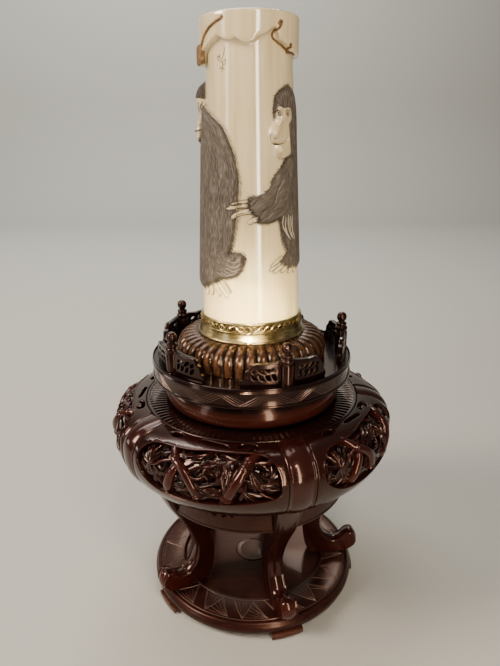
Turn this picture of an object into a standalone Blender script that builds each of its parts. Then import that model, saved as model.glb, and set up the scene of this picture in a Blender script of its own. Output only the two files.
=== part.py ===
"""Carved ivory tusk vase with two monkeys in relief, standing in a brass ring on a gadrooned cushion, on a
round hardwood stand: a railed gallery, a bombe drum of five pierced bamboo panels and five scroll-footed legs
on a round base board. Metres, +Z up, origin on the ground under the middle. The front is -Y."""

import math

import bmesh
import bpy
from mathutils import Vector

MM = 0.001

# The whole
CLEARANCE = 0.3 * MM  # left between pieces that touch
FOLDS = 5  # legs, panels, posts and pads round the stand
LEG_TURN = math.radians(17.5)  # of the front right leg, from the front towards +X
GALLERY_TURN = math.radians(19.5)  # of the front right post
TURNED_SIDES = 32
BAY = 2 * math.pi / FOLDS

# Base board and its pads
PAD_HEIGHT = 7 * MM
PAD_LENGTH = 34 * MM
PAD_DEPTH = 22 * MM
PAD_OVERHANG = 2 * MM  # past the board's edge
BOARD_RADIUS = 115.6 * MM
BOARD_THICKNESS = 12 * MM
BOARD_FIELD_RADIUS = 85.4 * MM  # inside the engraved border
BOARD_FIELD_SUNK = 2.4 * MM
BOARD_BEVEL = 8.4 * MM
BOSS_RADIUS = 22 * MM
BOSS_RISE = 1.2 * MM

# Drum: a superellipse swollen between its crown and its underside
CLEAR_HEIGHT = 138 * MM  # base board to the drum's underside
CROWN_RADIUS = 112.5 * MM  # where the shoulder ends under the lip
CROWN_EASE = 7.5 * MM  # from there in to where crown and underside are level
BELLY_CORE = CROWN_RADIUS - CROWN_EASE
BELLY_RADIUS = 147.5 * MM
BELLY_DROP = 44 * MM  # belly line to underside
BELLY_RISE = 27.5 * MM  # belly line to crown
BELLY_FULLNESS = 2.3
DRUM_WALL = 9 * MM
UNDERSIDE_LEVEL = 7 * MM
UNDERSIDE_RADIUS = BELLY_CORE - UNDERSIDE_LEVEL  # inner edge of the panels' underside
UNDERSIDE_MARGIN = 14 * MM  # from that edge out to where the straps turn down

# Legs
STRAP_WIDTH = 26 * MM
ANKLE_WIDTH = 17 * MM
STRAP_RELIEF = 1 * MM
SHELF_DEPTH = 12 * MM  # the leg's seat under the top board

# Waist aprons
APRON_RADIUS = UNDERSIDE_RADIUS + 6 * MM
APRON_THICKNESS = 7 * MM
APRON_DROP = 34 * MM

# Top board with its lip
TOP_THICKNESS = 5 * MM
TOP_HOLE_RADIUS = 66 * MM
LEDGE_WIDTH = 5 * MM  # outside the lip
LIP_RADIUS = CROWN_RADIUS - LEDGE_WIDTH
LIP_WIDTH = 5.5 * MM
LIP_RISE = 7.5 * MM  # over the board's outer ledge
FLUTES_WIDTH = 13 * MM
FLUTED_RING_INNER = LIP_RADIUS - LIP_WIDTH - FLUTES_WIDTH

# Gallery: torus neck, band, floor, posts and wings
NECK_RADIUS = FLUTED_RING_INNER + 1.2 * MM
NECK_FOOT_INSET = 9.5 * MM
NECK_HEIGHT = 30 * MM
BAND_RADIUS = 103.6 * MM
BAND_HEIGHT = 18 * MM
BAND_BEAD = 2 * MM
POST_CIRCLE = 94.5 * MM
POST_RADIUS = 6.3 * MM
POST_SHAFT = 26.4 * MM
FINIAL_RADIUS = 4.8 * MM
POST_SIDES = 8
WING_HEIGHT = 24.5 * MM
WING_THICKNESS = 5 * MM
WING_REACH = math.radians(26)  # from the post's middle to the wing's end

# Gadrooned cushion
CUSHION_RADIUS = 77 * MM
CUSHION_HEIGHT = 25.5 * MM
CUSHION_RIBS = 36
RIB_DEPTH = 1.8 * MM

# Brass ring
RING_HEIGHT = 20 * MM
RING_WALL = 1.1 * MM
RING_FLARE = 1.7 * MM
RING_BEAD = 1.3 * MM

# Tusk
TUSK_FOOT_RADIUS = 50.1 * MM
TUSK_NECK_RADIUS = 38.8 * MM  # ground under the collar
TUSK_HEIGHT = 283.4 * MM
TUSK_FLOOR = 9 * MM
HOLLOW_FOOT_RADIUS = 43.5 * MM
HOLLOW_RIM_RADIUS = 34.5 * MM
COLLAR_RADIUS = 44.3 * MM
COLLAR_DEPTH = 28 * MM
TUSK_SIDES = 40
FUR_RELIEF = 4 * MM
HEAD_RELIEF = 6 * MM
MUZZLE_RELIEF = 7.5 * MM
TURNED_HEAD_RELIEF = 8 * MM  # the left monkey's
PAW_RELIEF = 2 * MM
RELIEF_CHAMFER = 1.3 * MM
RELIEF_ROOT = 2.6 * MM  # below the ground
TUSK_DEGREE = math.radians(1) * TUSK_NECK_RADIUS  # a degree round the tusk on the flat drawing

# Heights that follow
BOARD_TOP = PAD_HEIGHT + BOARD_THICKNESS
UNDERSIDE = BOARD_TOP + CLEAR_HEIGHT
BELLY_HEIGHT = UNDERSIDE + BELLY_DROP
CROWN = BELLY_HEIGHT + BELLY_RISE
TOP_UNDERSIDE = CROWN - DRUM_WALL
TOP_LEDGE = TOP_UNDERSIDE + CLEARANCE + TOP_THICKNESS
NECK_FOOT = TOP_LEDGE + CLEARANCE
GALLERY_FLOOR = NECK_FOOT + NECK_HEIGHT + BAND_HEIGHT
CUSHION_FOOT = GALLERY_FLOOR + CLEARANCE
CUSHION_TOP = CUSHION_FOOT + CUSHION_HEIGHT
TUSK_FOOT = CUSHION_TOP + CLEARANCE
TUSK_TOP = TUSK_FOOT + TUSK_HEIGHT


def clear_scene():
    for obj in list(bpy.data.objects):
        bpy.data.objects.remove(obj, do_unlink=True)


def new_collection(name):
    collection = bpy.data.collections.new(name)
    bpy.context.scene.collection.children.link(collection)
    return collection


def new_material(name, colour, roughness, metallic=0.0):
    material = bpy.data.materials.new(name)
    material.use_nodes = True
    shader = material.node_tree.nodes["Principled BSDF"]
    shader.inputs["Base Color"].default_value = (*colour, 1)
    shader.inputs["Roughness"].default_value = roughness
    shader.inputs["Metallic"].default_value = metallic
    material.diffuse_color = (*colour, 1)
    return material


clear_scene()
PARTS = new_collection("tusk_vase_on_stand")
HELPERS = new_collection("guides")
IVORY = new_material("carved ivory", (0.72, 0.64, 0.47), 0.3)
BRASS = new_material("cast brass", (0.55, 0.42, 0.16), 0.32, 1.0)
ROSEWOOD = new_material("polished dark rosewood", (0.055, 0.018, 0.014), 0.2)
BROWN_WOOD = new_material("polished brown hardwood", (0.16, 0.075, 0.035), 0.22)


def add_object(name, mesh, material, turn=0.0):
    mesh.materials.clear()
    mesh.materials.append(material)
    mesh.shade_smooth()
    mesh.set_sharp_from_angle(angle=math.radians(35))
    obj = bpy.data.objects.new(name, mesh)
    obj.rotation_euler.z = turn
    PARTS.objects.link(obj)
    return obj


def evaluated_mesh(obj):
    """The object's mesh with its modifiers applied; the object itself goes."""
    bpy.context.view_layer.update()
    graph = bpy.context.evaluated_depsgraph_get()
    mesh = bpy.data.meshes.new_from_object(obj.evaluated_get(graph), depsgraph=graph)
    bpy.data.objects.remove(obj, do_unlink=True)
    return mesh


def edit_mesh(mesh, change):
    shape = bmesh.new()
    shape.from_mesh(mesh)
    change(shape)
    bmesh.ops.recalc_face_normals(shape, faces=shape.faces)
    if shape.calc_volume(signed=True) < 0:
        bmesh.ops.reverse_faces(shape, faces=shape.faces)
    shape.to_mesh(mesh)
    shape.free()
    return mesh


def turned(name, profile, sides=TURNED_SIDES, closed=False):
    """A mesh turned round Z from (radius, height) points, top to bottom on the outer side."""
    mesh = bpy.data.meshes.new(name)
    shape = bmesh.new()
    points = [shape.verts.new((radius, 0, height)) for radius, height in profile]
    for a, b in zip(points, points[1:] + (points[:1] if closed else [])):
        shape.edges.new((a, b))
    shape.to_mesh(mesh)
    shape.free()
    obj = bpy.data.objects.new(name, mesh)
    HELPERS.objects.link(obj)
    screw = obj.modifiers.new("turn", "SCREW")
    screw.axis = "Z"
    screw.angle = 2 * math.pi
    screw.steps = screw.render_steps = sides
    screw.use_merge_vertices = True
    screw.merge_threshold = 0.01 * MM
    return evaluated_mesh(obj)


def plate(name, loops, front, back, chamfer=0.0):
    """A flat plate facing +Z, its outline the first loop and its holes the rest, chamfered inside its outline."""
    curve = bpy.data.curves.new(name, "CURVE")
    curve.dimensions = "2D"
    curve.fill_mode = "BOTH"
    curve.extrude = (front - back) / 2 - chamfer
    curve.bevel_depth = chamfer
    curve.bevel_resolution = 0
    curve.offset = -chamfer
    for loop in loops:
        spline = curve.splines.new("POLY")
        spline.points.add(len(loop) - 1)
        for point, (x, y) in zip(spline.points, loop):
            point.co = (x, y, 0, 1)
        spline.use_cyclic_u = True
    obj = bpy.data.objects.new(name, curve)
    HELPERS.objects.link(obj)

    def weld_and_lift(shape):
        bmesh.ops.remove_doubles(shape, verts=shape.verts, dist=0.001 * MM)
        for vert in shape.verts:  # rounded, so that plates of one level share their plane exactly
            vert.co.z = round(vert.co.z + (front + back) / 2, 7)

    return edit_mesh(evaluated_mesh(obj), weld_and_lift)


def bend(mesh, mapping, cuts_x=(), cuts_y=()):
    """Cuts a plate along lines of constant x and y, then moves each point to mapping(x, y, z)."""

    def change(shape):
        bmesh.ops.dissolve_limit(shape, angle_limit=math.radians(1), verts=shape.verts, edges=shape.edges)
        for axis, cuts in (((1, 0, 0), cuts_x), ((0, 1, 0), cuts_y)):
            for cut in cuts:
                everything = shape.verts[:] + shape.edges[:] + shape.faces[:]
                bmesh.ops.bisect_plane(shape, geom=everything, plane_co=Vector(axis) * cut, plane_no=axis)
        bmesh.ops.triangulate(shape, faces=shape.faces)
        for vert in shape.verts:
            vert.co = mapping(*vert.co)

    return edit_mesh(mesh, change)


def lightened(mesh, angle):
    """The mesh without the edges that a Boolean leaves across nearly flat areas."""

    def change(shape):
        bmesh.ops.remove_doubles(shape, verts=shape.verts, dist=0.05 * MM)
        bmesh.ops.dissolve_limit(shape, angle_limit=math.radians(angle), verts=shape.verts, edges=shape.edges)
        bmesh.ops.triangulate(shape, faces=shape.faces)

    return edit_mesh(mesh, change)


def combined(name, mesh, others):
    """One mesh from a Boolean union with all the others at once."""
    obj = bpy.data.objects.new(name, mesh)
    HELPERS.objects.link(obj)
    operands = bpy.data.collections.new(f"{name}_operands")
    HELPERS.children.link(operands)
    for number, other in enumerate(others):
        helper = bpy.data.objects.new(f"{name}_{number}", other)
        helper.hide_render = True
        helper.display_type = "WIRE"
        operands.objects.link(helper)
    step = obj.modifiers.new(name, "BOOLEAN")
    step.operation = "UNION"
    step.operand_type = "COLLECTION"
    step.collection = operands
    result = evaluated_mesh(obj)
    for helper in list(operands.objects):
        bpy.data.objects.remove(helper, do_unlink=True)
    bpy.data.collections.remove(operands)
    return result


def on_circle(radius, angle, height):
    """The point at an angle from the front, towards +X."""
    return Vector((radius * math.sin(angle), -radius * math.cos(angle), height))


# Base board: one turned board with a sunk field, a low boss and a rounded edge


def make_base_board():
    field = BOARD_TOP - BOARD_FIELD_SUNK
    edge = 3 * MM
    profile = [
        (0, field + BOSS_RISE),
        (BOSS_RADIUS, field + BOSS_RISE),
        (BOSS_RADIUS + 1.5 * MM, field),
        (BOARD_FIELD_RADIUS - BOARD_BEVEL, field),
        (BOARD_FIELD_RADIUS, BOARD_TOP),
        (BOARD_RADIUS - edge, BOARD_TOP),
        (BOARD_RADIUS, BOARD_TOP - 0.4 * BOARD_THICKNESS),
        (BOARD_RADIUS - edge, PAD_HEIGHT),
        (0, PAD_HEIGHT),
    ]
    add_object("base_board", turned("base_board", profile), ROSEWOOD)


def make_pads():
    outer = BOARD_RADIUS + PAD_OVERHANG
    half = PAD_LENGTH / 2
    shape = bmesh.new()
    bmesh.ops.create_cube(shape, size=1)
    for vert in shape.verts:
        taper = 1 if vert.co.z > 0 else 0.86
        vert.co = (
            2 * vert.co.x * half * taper,
            -(outer - PAD_DEPTH / 2) + vert.co.y * PAD_DEPTH * taper,
            (vert.co.z + 0.5) * (PAD_HEIGHT - CLEARANCE),
        )
    mesh = bpy.data.meshes.new("pad")
    shape.to_mesh(mesh)
    shape.free()
    for number in range(FOLDS):
        add_object(f"foot_pad_{number + 1}", mesh, ROSEWOOD, LEG_TURN + number * BAY)


def tusk_radius(height):
    """Of the tusk's ground."""
    share = (height - TUSK_FOOT) / (TUSK_HEIGHT - COLLAR_DEPTH)
    return TUSK_FOOT_RADIUS + (TUSK_NECK_RADIUS - TUSK_FOOT_RADIUS) * min(share, 1)


# The drum's section


def power(value, exponent):
    return math.copysign(abs(value) ** exponent, value)


def belly_point(angle, inset=0.0):
    """(radius, height) on the drum: angle 90 at the crown, 0 at the belly, -90 underneath, in degrees."""
    angle = math.radians(angle)
    reach = BELLY_RADIUS - BELLY_CORE - inset
    height = (BELLY_RISE if angle > 0 else BELLY_DROP) - inset
    exponent = 2 / BELLY_FULLNESS
    return (
        BELLY_CORE + reach * power(math.cos(angle), exponent),
        BELLY_HEIGHT + height * power(math.sin(angle), exponent),
    )


def crown_angle(radius, inset=0.0):
    """The belly angle at which the crown has this radius."""
    share = (radius - BELLY_CORE) / (BELLY_RADIUS - BELLY_CORE - inset)
    return math.degrees(math.acos(share ** (BELLY_FULLNESS / 2)))


def section_run(inset, steps=48):
    """The panel's section at a depth in the wall, from the crown's edge round to the underside's inner edge."""
    top = crown_angle(CROWN_RADIUS, inset)
    run = [belly_point(top + (-90 - top) * step / steps, inset) for step in range(steps + 1)]
    run.append((UNDERSIDE_RADIUS, UNDERSIDE + inset))
    return run


OUTER_RUN = section_run(0)
INNER_RUN = section_run(DRUM_WALL)
RUN_LENGTHS = [0.0]
for start, end in zip(OUTER_RUN, OUTER_RUN[1:]):
    RUN_LENGTHS.append(RUN_LENGTHS[-1] + math.dist(start, end))
RUN_LENGTH = RUN_LENGTHS[-1]


def wall_point(along, depth):
    """(radius, height) at a length down the panel's face and a depth into its wall."""
    along = min(max(along, 0), RUN_LENGTH)
    at = max(i for i, length in enumerate(RUN_LENGTHS[:-1]) if length <= along)
    share = (along - RUN_LENGTHS[at]) / (RUN_LENGTHS[at + 1] - RUN_LENGTHS[at])
    outer = Vector(OUTER_RUN[at]).lerp(Vector(OUTER_RUN[at + 1]), share)
    inner = Vector(INNER_RUN[at]).lerp(Vector(INNER_RUN[at + 1]), share)
    return outer.lerp(inner, depth / DRUM_WALL)


def leg_half_width(height):
    """Half the leg's width, narrowing from the strap to the ankle."""
    share = (height - BOARD_TOP) / CLEAR_HEIGHT
    share = min(max((share - 0.35) / 0.6, 0), 1)
    return (ANKLE_WIDTH + (STRAP_WIDTH - ANKLE_WIDTH) * share) / 2


def bay_half_angle(radius, height):
    """Half the angle between the faces of two neighbouring legs."""
    return BAY / 2 - math.asin((leg_half_width(height) + CLEARANCE) / radius)


PANEL_HALF = BELLY_RADIUS * bay_half_angle(BELLY_RADIUS, BELLY_HEIGHT)


def on_panel(across, along, depth):
    """A point of a panel from its flat drawing: across the bay, down the face, into the wall."""
    radius, height = wall_point(along, depth)
    return on_circle(radius, across / PANEL_HALF * bay_half_angle(radius, height), height)


# Bamboo panels: a pierced cartouche in the swollen wall, with two canes and fans of leaves across it.
# Across and along are shares of the half panel and of the drawn length down the face.

CARTOUCHE = [
    (-0.92, 0.34), (-0.87, 0.24), (-0.72, 0.165), (-0.25, 0.14), (0.13, 0.11), (0.72, 0.13), (0.88, 0.22),
    (0.92, 0.36), (0.86, 0.46), (0.38, 0.51), (-0.31, 0.545), (-0.66, 0.51), (-0.86, 0.43),
]  # fmt: skip
# Two canes, a branch and a stalk: their runs across and along
CANES = [
    [(-0.50, 0.11), (-0.29, 0.26), (-0.19, 0.36), (0.02, 0.56)],
    [(0.62, 0.08), (0.52, 0.24), (0.41, 0.34), (0.24, 0.55)],
    [(-0.22, 0.24), (-0.34, 0.36), (-0.42, 0.56)],
    [(-0.24, 0.27), (-0.60, 0.385), (-0.95, 0.40)],
]
CANE_WIDTHS = (9 * MM, 9 * MM, 7 * MM, 5 * MM)
CANE_RISE = 1.5 * MM
# Fans of leaves: foot across and along, direction in degrees from down the face, spread, and the longest
# leaf as a share of the drawn length
LEAF_FANS = [
    ((-0.64, 0.42), 180, 120, 0.195),
    ((0.02, 0.46), 160, 130, 0.25),
    ((0.42, 0.35), 80, 130, 0.265),
]
FAN_LEAVES = 3
LEAF_SUNK = 1.5 * MM
PANEL_COLUMNS = 4
PANEL_ROWS = (0.13, 0.27, 0.4, 0.53, 0.68, 0.84)  # shares of the drawn length


def panel_drawing(loop):
    return [(across * PANEL_HALF, along * RUN_LENGTH) for across, along in loop]


def cane(points, width):
    """A bent cane of square section."""
    run = panel_drawing(points)
    outline = []
    for side in (1, -1):
        edge = []
        for index, point in enumerate(run):
            before, after = run[max(index - 1, 0)], run[min(index + 1, len(run) - 1)]
            way = (Vector(after) - Vector(before)).normalized()
            edge.append(tuple(Vector(point) + Vector((-way.y, way.x)) * side * width / 2))
        outline += edge if side == 1 else edge[::-1]
    return plate("cane", [outline], CANE_RISE, -DRUM_WALL)


def leaf_fan(foot, direction, spread, length):
    """A flat star of pointed leaves opening from its foot."""
    (foot,) = panel_drawing([foot])
    length *= RUN_LENGTH
    outline = []
    for step in range(2 * FAN_LEAVES - 1):
        angle = math.radians(direction + spread * (step / (2 * FAN_LEAVES - 2) - 0.5))
        reach = length * (1 - 0.2 * abs(step / (FAN_LEAVES - 1) - 1)) if step % 2 == 0 else 0.45 * length
        outline.append((foot[0] + reach * math.sin(angle), foot[1] + reach * math.cos(angle)))
    for angle in (direction + 0.5 * spread + 60, direction - 0.5 * spread - 60):
        angle = math.radians(angle)
        outline.append((foot[0] + 0.18 * length * math.sin(angle), foot[1] + 0.18 * length * math.cos(angle)))
    return plate("leaves", [outline], -LEAF_SUNK, -DRUM_WALL)


def make_panels():
    """Carved flat as one board with a level back, then bent to the drum."""
    edge = [(-1, 0), (1, 0), (1, 1), (-1, 1)]
    board = plate("panel", [panel_drawing(loop) for loop in (edge, CARTOUCHE)], 0, -DRUM_WALL)
    carving = [cane(*one) for one in zip(CANES, CANE_WIDTHS)] + [leaf_fan(*fan) for fan in LEAF_FANS]
    mesh = lightened(combined("panel", board, carving), 1)
    columns = [(2 * k / PANEL_COLUMNS - 1) * PANEL_HALF for k in range(1, PANEL_COLUMNS)]
    rows = [share * RUN_LENGTH for share in PANEL_ROWS]
    bend(mesh, lambda x, y, z: on_panel(x, y, -z), columns, rows)
    for number in range(FOLDS):
        add_object(f"bamboo_panel_{number + 1}", mesh, ROSEWOOD, LEG_TURN + (number + 0.5) * BAY)


# Legs: a strap over the drum, then a reversed curve down to an upturned square scroll foot. Below the drum
# the outline is in shares of the radius where the strap turns down and of the clear height.

LEG_FRONT = [
    (0.955, 0.90), (0.88, 0.755), (0.785, 0.615), (0.697, 0.465), (0.65, 0.32), (0.675, 0.195), (0.756, 0.12),
    (0.84, 0.125), (0.90, 0.18), (0.965, 0.192), (1.008, 0.138), (0.996, 0.072), (0.924, 0.02), (0.83, 0),
]  # fmt: skip
LEG_BACK = [
    (0.555, 0), (0.504, 0.116), (0.487, 0.275), (0.538, 0.435), (0.639, 0.609), (0.739, 0.768), (0.80, 0.88),
]  # fmt: skip
STRAP_ANGLES = (60, 40, 22, 6, -12, -30, -48, -66)


def make_legs():
    turn_radius = UNDERSIDE_RADIUS + UNDERSIDE_MARGIN + DRUM_WALL
    crown = crown_angle(CROWN_RADIUS)
    front = [(CROWN_RADIUS, belly_point(crown)[1] + STRAP_RELIEF)]
    front += [belly_point(angle, -STRAP_RELIEF) for angle in STRAP_ANGLES]
    front += [(turn_radius, UNDERSIDE)]
    front += [(r * turn_radius, BOARD_TOP + CLEARANCE + h * CLEAR_HEIGHT) for r, h in LEG_FRONT]
    back = [(r * turn_radius, BOARD_TOP + CLEARANCE + h * CLEAR_HEIGHT) for r, h in LEG_BACK]
    back += [(turn_radius - 2 * DRUM_WALL, UNDERSIDE + 0.5 * DRUM_WALL)]
    back += [belly_point(angle, DRUM_WALL) for angle in (-60, -30, 0, 30)]
    shelf = TOP_UNDERSIDE
    back += [(BELLY_CORE, shelf - 0.8 * DRUM_WALL), (CROWN_RADIUS - SHELF_DEPTH, shelf - 0.8 * DRUM_WALL)]
    back += [(CROWN_RADIUS - SHELF_DEPTH, shelf), (CROWN_RADIUS, shelf)]
    mesh = plate("leg", [front + back], 1, -1)

    def place(x, y, z):
        return Vector((z * leg_half_width(y), -x, y))

    bend(mesh, place)
    for number in range(FOLDS):
        add_object(f"leg_{number + 1}", mesh, ROSEWOOD, LEG_TURN + number * BAY)


# Aprons between the legs under the drum


def make_aprons():
    top = UNDERSIDE - CLEARANCE
    outline = [(-1, 0), (1, 0), (1, -APRON_DROP), (-1, -APRON_DROP)]
    ornament = [(-0.3, -0.4), (0, -0.2), (0.3, -0.4), (0, -0.6)]
    ornament = [(x, y * APRON_DROP) for x, y in ornament]
    mesh = plate("apron", [outline, ornament], 0, -APRON_THICKNESS)

    def place(x, y, z):
        radius = APRON_RADIUS + z
        height = top + y
        return on_circle(radius, x * bay_half_angle(radius, height), height)

    bend(mesh, place, (-0.5, 0, 0.5))
    for number in range(FOLDS):
        add_object(f"apron_{number + 1}", mesh, ROSEWOOD, LEG_TURN + (number + 0.5) * BAY)


# Top board: an annular board with a finely fluted slope and a rounded lip


def make_top_board():
    bottom = TOP_UNDERSIDE + CLEARANCE
    lip_inner = LIP_RADIUS - LIP_WIDTH
    facet = bay_half_angle(CROWN_RADIUS, CROWN) / PANEL_COLUMNS
    outer = CROWN_RADIUS * math.cos(facet) - CLEARANCE
    profile = [
        (TOP_HOLE_RADIUS, TOP_LEDGE),
        (FLUTED_RING_INNER, TOP_LEDGE),
        (lip_inner, TOP_LEDGE + 0.45 * LIP_RISE),
        (lip_inner + 0.3 * LIP_WIDTH, bottom + 0.3 * TOP_THICKNESS + LIP_RISE),
        (LIP_RADIUS - 0.2 * LIP_WIDTH, bottom + 0.3 * TOP_THICKNESS + LIP_RISE),
        (LIP_RADIUS, TOP_LEDGE),
        (outer, bottom + 0.5 * TOP_THICKNESS),
        (outer, bottom),
        (TOP_HOLE_RADIUS, bottom),
    ]
    add_object("top_board", turned("top_board", profile, closed=True), ROSEWOOD)


# Gallery: a torus neck under a banded floor, turned in one, with posts and pierced wings standing on it


def make_gallery_ring():
    band_foot = NECK_FOOT + NECK_HEIGHT
    neck_foot = NECK_RADIUS - NECK_FOOT_INSET
    bead_foot = POST_CIRCLE + POST_RADIUS + 2 * CLEARANCE
    profile = [
        (0, GALLERY_FLOOR),
        (bead_foot, GALLERY_FLOOR),
        (0.5 * (bead_foot + BAND_RADIUS), GALLERY_FLOOR + BAND_BEAD),
        (BAND_RADIUS, GALLERY_FLOOR - 0.5 * MM),
        (BAND_RADIUS, band_foot + 0.1 * BAND_HEIGHT),
        (NECK_RADIUS, band_foot - 0.1 * NECK_HEIGHT),
        (NECK_RADIUS, band_foot - 0.68 * NECK_HEIGHT),
        (neck_foot + 0.6 * (NECK_RADIUS - neck_foot), band_foot - 0.9 * NECK_HEIGHT),
        (neck_foot, NECK_FOOT),
        (0, NECK_FOOT),
    ]
    add_object("gallery_ring", turned("gallery_ring", profile), ROSEWOOD)


def make_posts():
    foot = GALLERY_FLOOR + CLEARANCE
    shaft = foot + POST_SHAFT
    neck = 0.63 * FINIAL_RADIUS
    bead = shaft + 1.1 * FINIAL_RADIUS
    ball = bead + 1.5 * FINIAL_RADIUS
    profile = [
        (0, ball + 1.15 * FINIAL_RADIUS),
        (0.66 * FINIAL_RADIUS, ball + 0.75 * FINIAL_RADIUS),
        (FINIAL_RADIUS, ball),
        (neck, ball - 0.75 * FINIAL_RADIUS),
        (0.9 * POST_RADIUS, bead),
        (POST_RADIUS, shaft),
        (POST_RADIUS, foot),
        (0, foot),
    ]
    mesh = turned("post", profile, POST_SIDES)
    edit_mesh(mesh, lambda shape: bmesh.ops.translate(shape, verts=shape.verts, vec=(0, -POST_CIRCLE, 0)))
    for number in range(FOLDS):
        add_object(f"gallery_post_{number + 1}", mesh, ROSEWOOD, GALLERY_TURN + number * BAY)


# A wing's outline and piercing, in shares of its length from the post and of its height
WING_OUTLINE = [(0, 0), (1, 0), (0.98, 0.35), (0.86, 0.68), (0.72, 0.9), (0.4, 0.94), (0, 1)]
WING_HOLE = [(0.14, 0.32), (0.2, 0.7), (0.68, 0.66), (0.76, 0.28)]


def make_wings():
    start = (POST_RADIUS + CLEARANCE) / POST_CIRCLE
    foot = GALLERY_FLOOR + CLEARANCE
    for side, side_name in ((1, "right"), (-1, "left")):

        def place(x, y, z, side=side):
            angle = start + x * (WING_REACH - start)
            return on_circle(POST_CIRCLE + z, side * angle, foot + y * WING_HEIGHT)

        mesh = plate("wing", [WING_OUTLINE, WING_HOLE], WING_THICKNESS / 2, -WING_THICKNESS / 2)
        bend(mesh, place, (0.35, 0.7))
        for number in range(FOLDS):
            name = f"gallery_wing_{number + 1}_{side_name}"
            add_object(name, mesh, ROSEWOOD, GALLERY_TURN + number * BAY)


# Cushion: a domed disc with rounded ribs running out from the ring and down its side


def make_cushion():
    crown = TUSK_FOOT_RADIUS + RING_WALL + RING_FLARE + RING_BEAD + 0.5 * MM
    profile = [
        (0, CUSHION_TOP),
        (crown, CUSHION_TOP),
        (crown + 0.68 * (CUSHION_RADIUS - crown), CUSHION_TOP - 0.13 * CUSHION_HEIGHT),
        (CUSHION_RADIUS, CUSHION_TOP - 0.48 * CUSHION_HEIGHT),
        (CUSHION_RADIUS - 1 * MM, CUSHION_FOOT),
        (0, CUSHION_FOOT),
    ]
    mesh = turned("cushion", profile, 2 * CUSHION_RIBS)

    def rib(shape):
        for vert in shape.verts:
            radius = math.hypot(vert.co.x, vert.co.y)
            if radius < crown + 1 * MM:
                continue
            column = round(math.atan2(vert.co.y, vert.co.x) / math.pi * CUSHION_RIBS)
            if column % 2:
                vert.co.xy *= 1 - RIB_DEPTH / radius
                if vert.co.z > CUSHION_FOOT + 1 * MM:
                    vert.co.z -= 0.5 * RIB_DEPTH

    add_object("gadrooned_cushion", edit_mesh(mesh, rib), BROWN_WOOD)


# Brass ring clasping the tusk's foot


def make_brass_ring():
    inner = TUSK_FOOT_RADIUS + CLEARANCE
    outer = inner + RING_WALL
    top = TUSK_FOOT + RING_HEIGHT
    profile = [
        (tusk_radius(top) + CLEARANCE + RING_WALL, top),
        (outer, TUSK_FOOT + 0.58 * RING_HEIGHT),
        (outer + RING_FLARE, TUSK_FOOT + 0.16 * RING_HEIGHT),
        (outer + RING_FLARE + RING_BEAD, TUSK_FOOT),
        (inner, TUSK_FOOT),
        (tusk_radius(top) + CLEARANCE, top),
    ]
    add_object("brass_ring", turned("brass_ring", profile, closed=True), BRASS)


# Tusk vase: one tapering tusk, hollowed, its ground cut back from a cloth-like collar and from the monkeys.
# Figures are drawn flat: degrees round the tusk from the front, and shares of the tusk's height.

HEM = [
    (-180, 0.905), (-130, 0.89), (-98, 0.87), (-78, 0.865), (-66, 0.905), (-52, 0.922), (-39, 0.938),
    (-30, 0.927), (-20, 0.924), (-16, 0.93), (-8, 0.916), (-3, 0.914), (5, 0.919), (10, 0.93), (18, 0.938),
    (26, 0.951), (31, 0.957), (37, 0.924), (47, 0.914), (62, 0.899), (74, 0.896), (100, 0.89), (140, 0.905),
    (180, 0.905),
]  # fmt: skip
LEFT_BODY = [
    (-80, 0.757), (-62, 0.735), (-48, 0.718), (-33, 0.686), (-23, 0.637), (-17, 0.595), (-13, 0.535), (-14, 0.47),
    (-18, 0.368), (-22, 0.31), (-15, 0.313), (-7, 0.295), (-8, 0.268), (-14, 0.244), (-36, 0.222),
    (-52, 0.195), (-72, 0.19), (-96, 0.215), (-108, 0.36), (-108, 0.57), (-98, 0.7),
]  # fmt: skip
LEFT_HEAD = [
    (-80, 0.8), (-88, 0.828), (-98, 0.825), (-107, 0.79), (-112, 0.745), (-113, 0.69), (-106, 0.64),
    (-94, 0.625), (-83, 0.65), (-80, 0.72),
]  # fmt: skip
LEFT_PAWS = [(-24, 0.225), (-21, 0.18), (-25, 0.155), (-40, 0.15), (-60, 0.165), (-62, 0.21), (-40, 0.24)]
RIGHT_BODY = [
    (60, 0.62), (46, 0.597), (32, 0.548), (27, 0.523), (17, 0.495), (11, 0.481), (0, 0.481), (0, 0.435),
    (8, 0.4), (30, 0.411), (34, 0.365), (36, 0.326), (42, 0.304), (38, 0.268), (50, 0.25), (72, 0.235),
    (96, 0.255), (108, 0.34), (108, 0.5), (100, 0.62), (84, 0.69),
]  # fmt: skip
RIGHT_HEAD = [
    (54, 0.806), (67, 0.787), (77, 0.745), (80, 0.67), (72, 0.6), (56, 0.585), (39, 0.6), (27, 0.63),
    (20, 0.668), (26, 0.7), (26, 0.74), (31, 0.77), (40, 0.792),
]  # fmt: skip
RIGHT_MUZZLE = [(48, 0.6), (39, 0.598), (28, 0.622), (20, 0.668), (27, 0.705), (40, 0.7), (50, 0.66)]
RIGHT_PAWS = [(4, 0.478), (-11, 0.467), (-22, 0.462), (-24, 0.449), (-19, 0.42), (-8, 0.425), (4, 0.398)]
RIGHT_FOOT = [(44, 0.3), (31, 0.302), (20, 0.258), (24, 0.243), (52, 0.235), (70, 0.225), (72, 0.27)]
BACK_BODY = [
    (176, 0.5), (161, 0.45), (153, 0.36), (152, 0.28), (160, 0.225), (180, 0.2), (201, 0.22), (210, 0.28),
    (208, 0.37), (199, 0.45), (188, 0.5),
]  # fmt: skip
BACK_HEAD = [(182, 0.6), (168, 0.58), (164, 0.53), (171, 0.48), (184, 0.465), (195, 0.49), (198, 0.54), (193, 0.585)]


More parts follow.
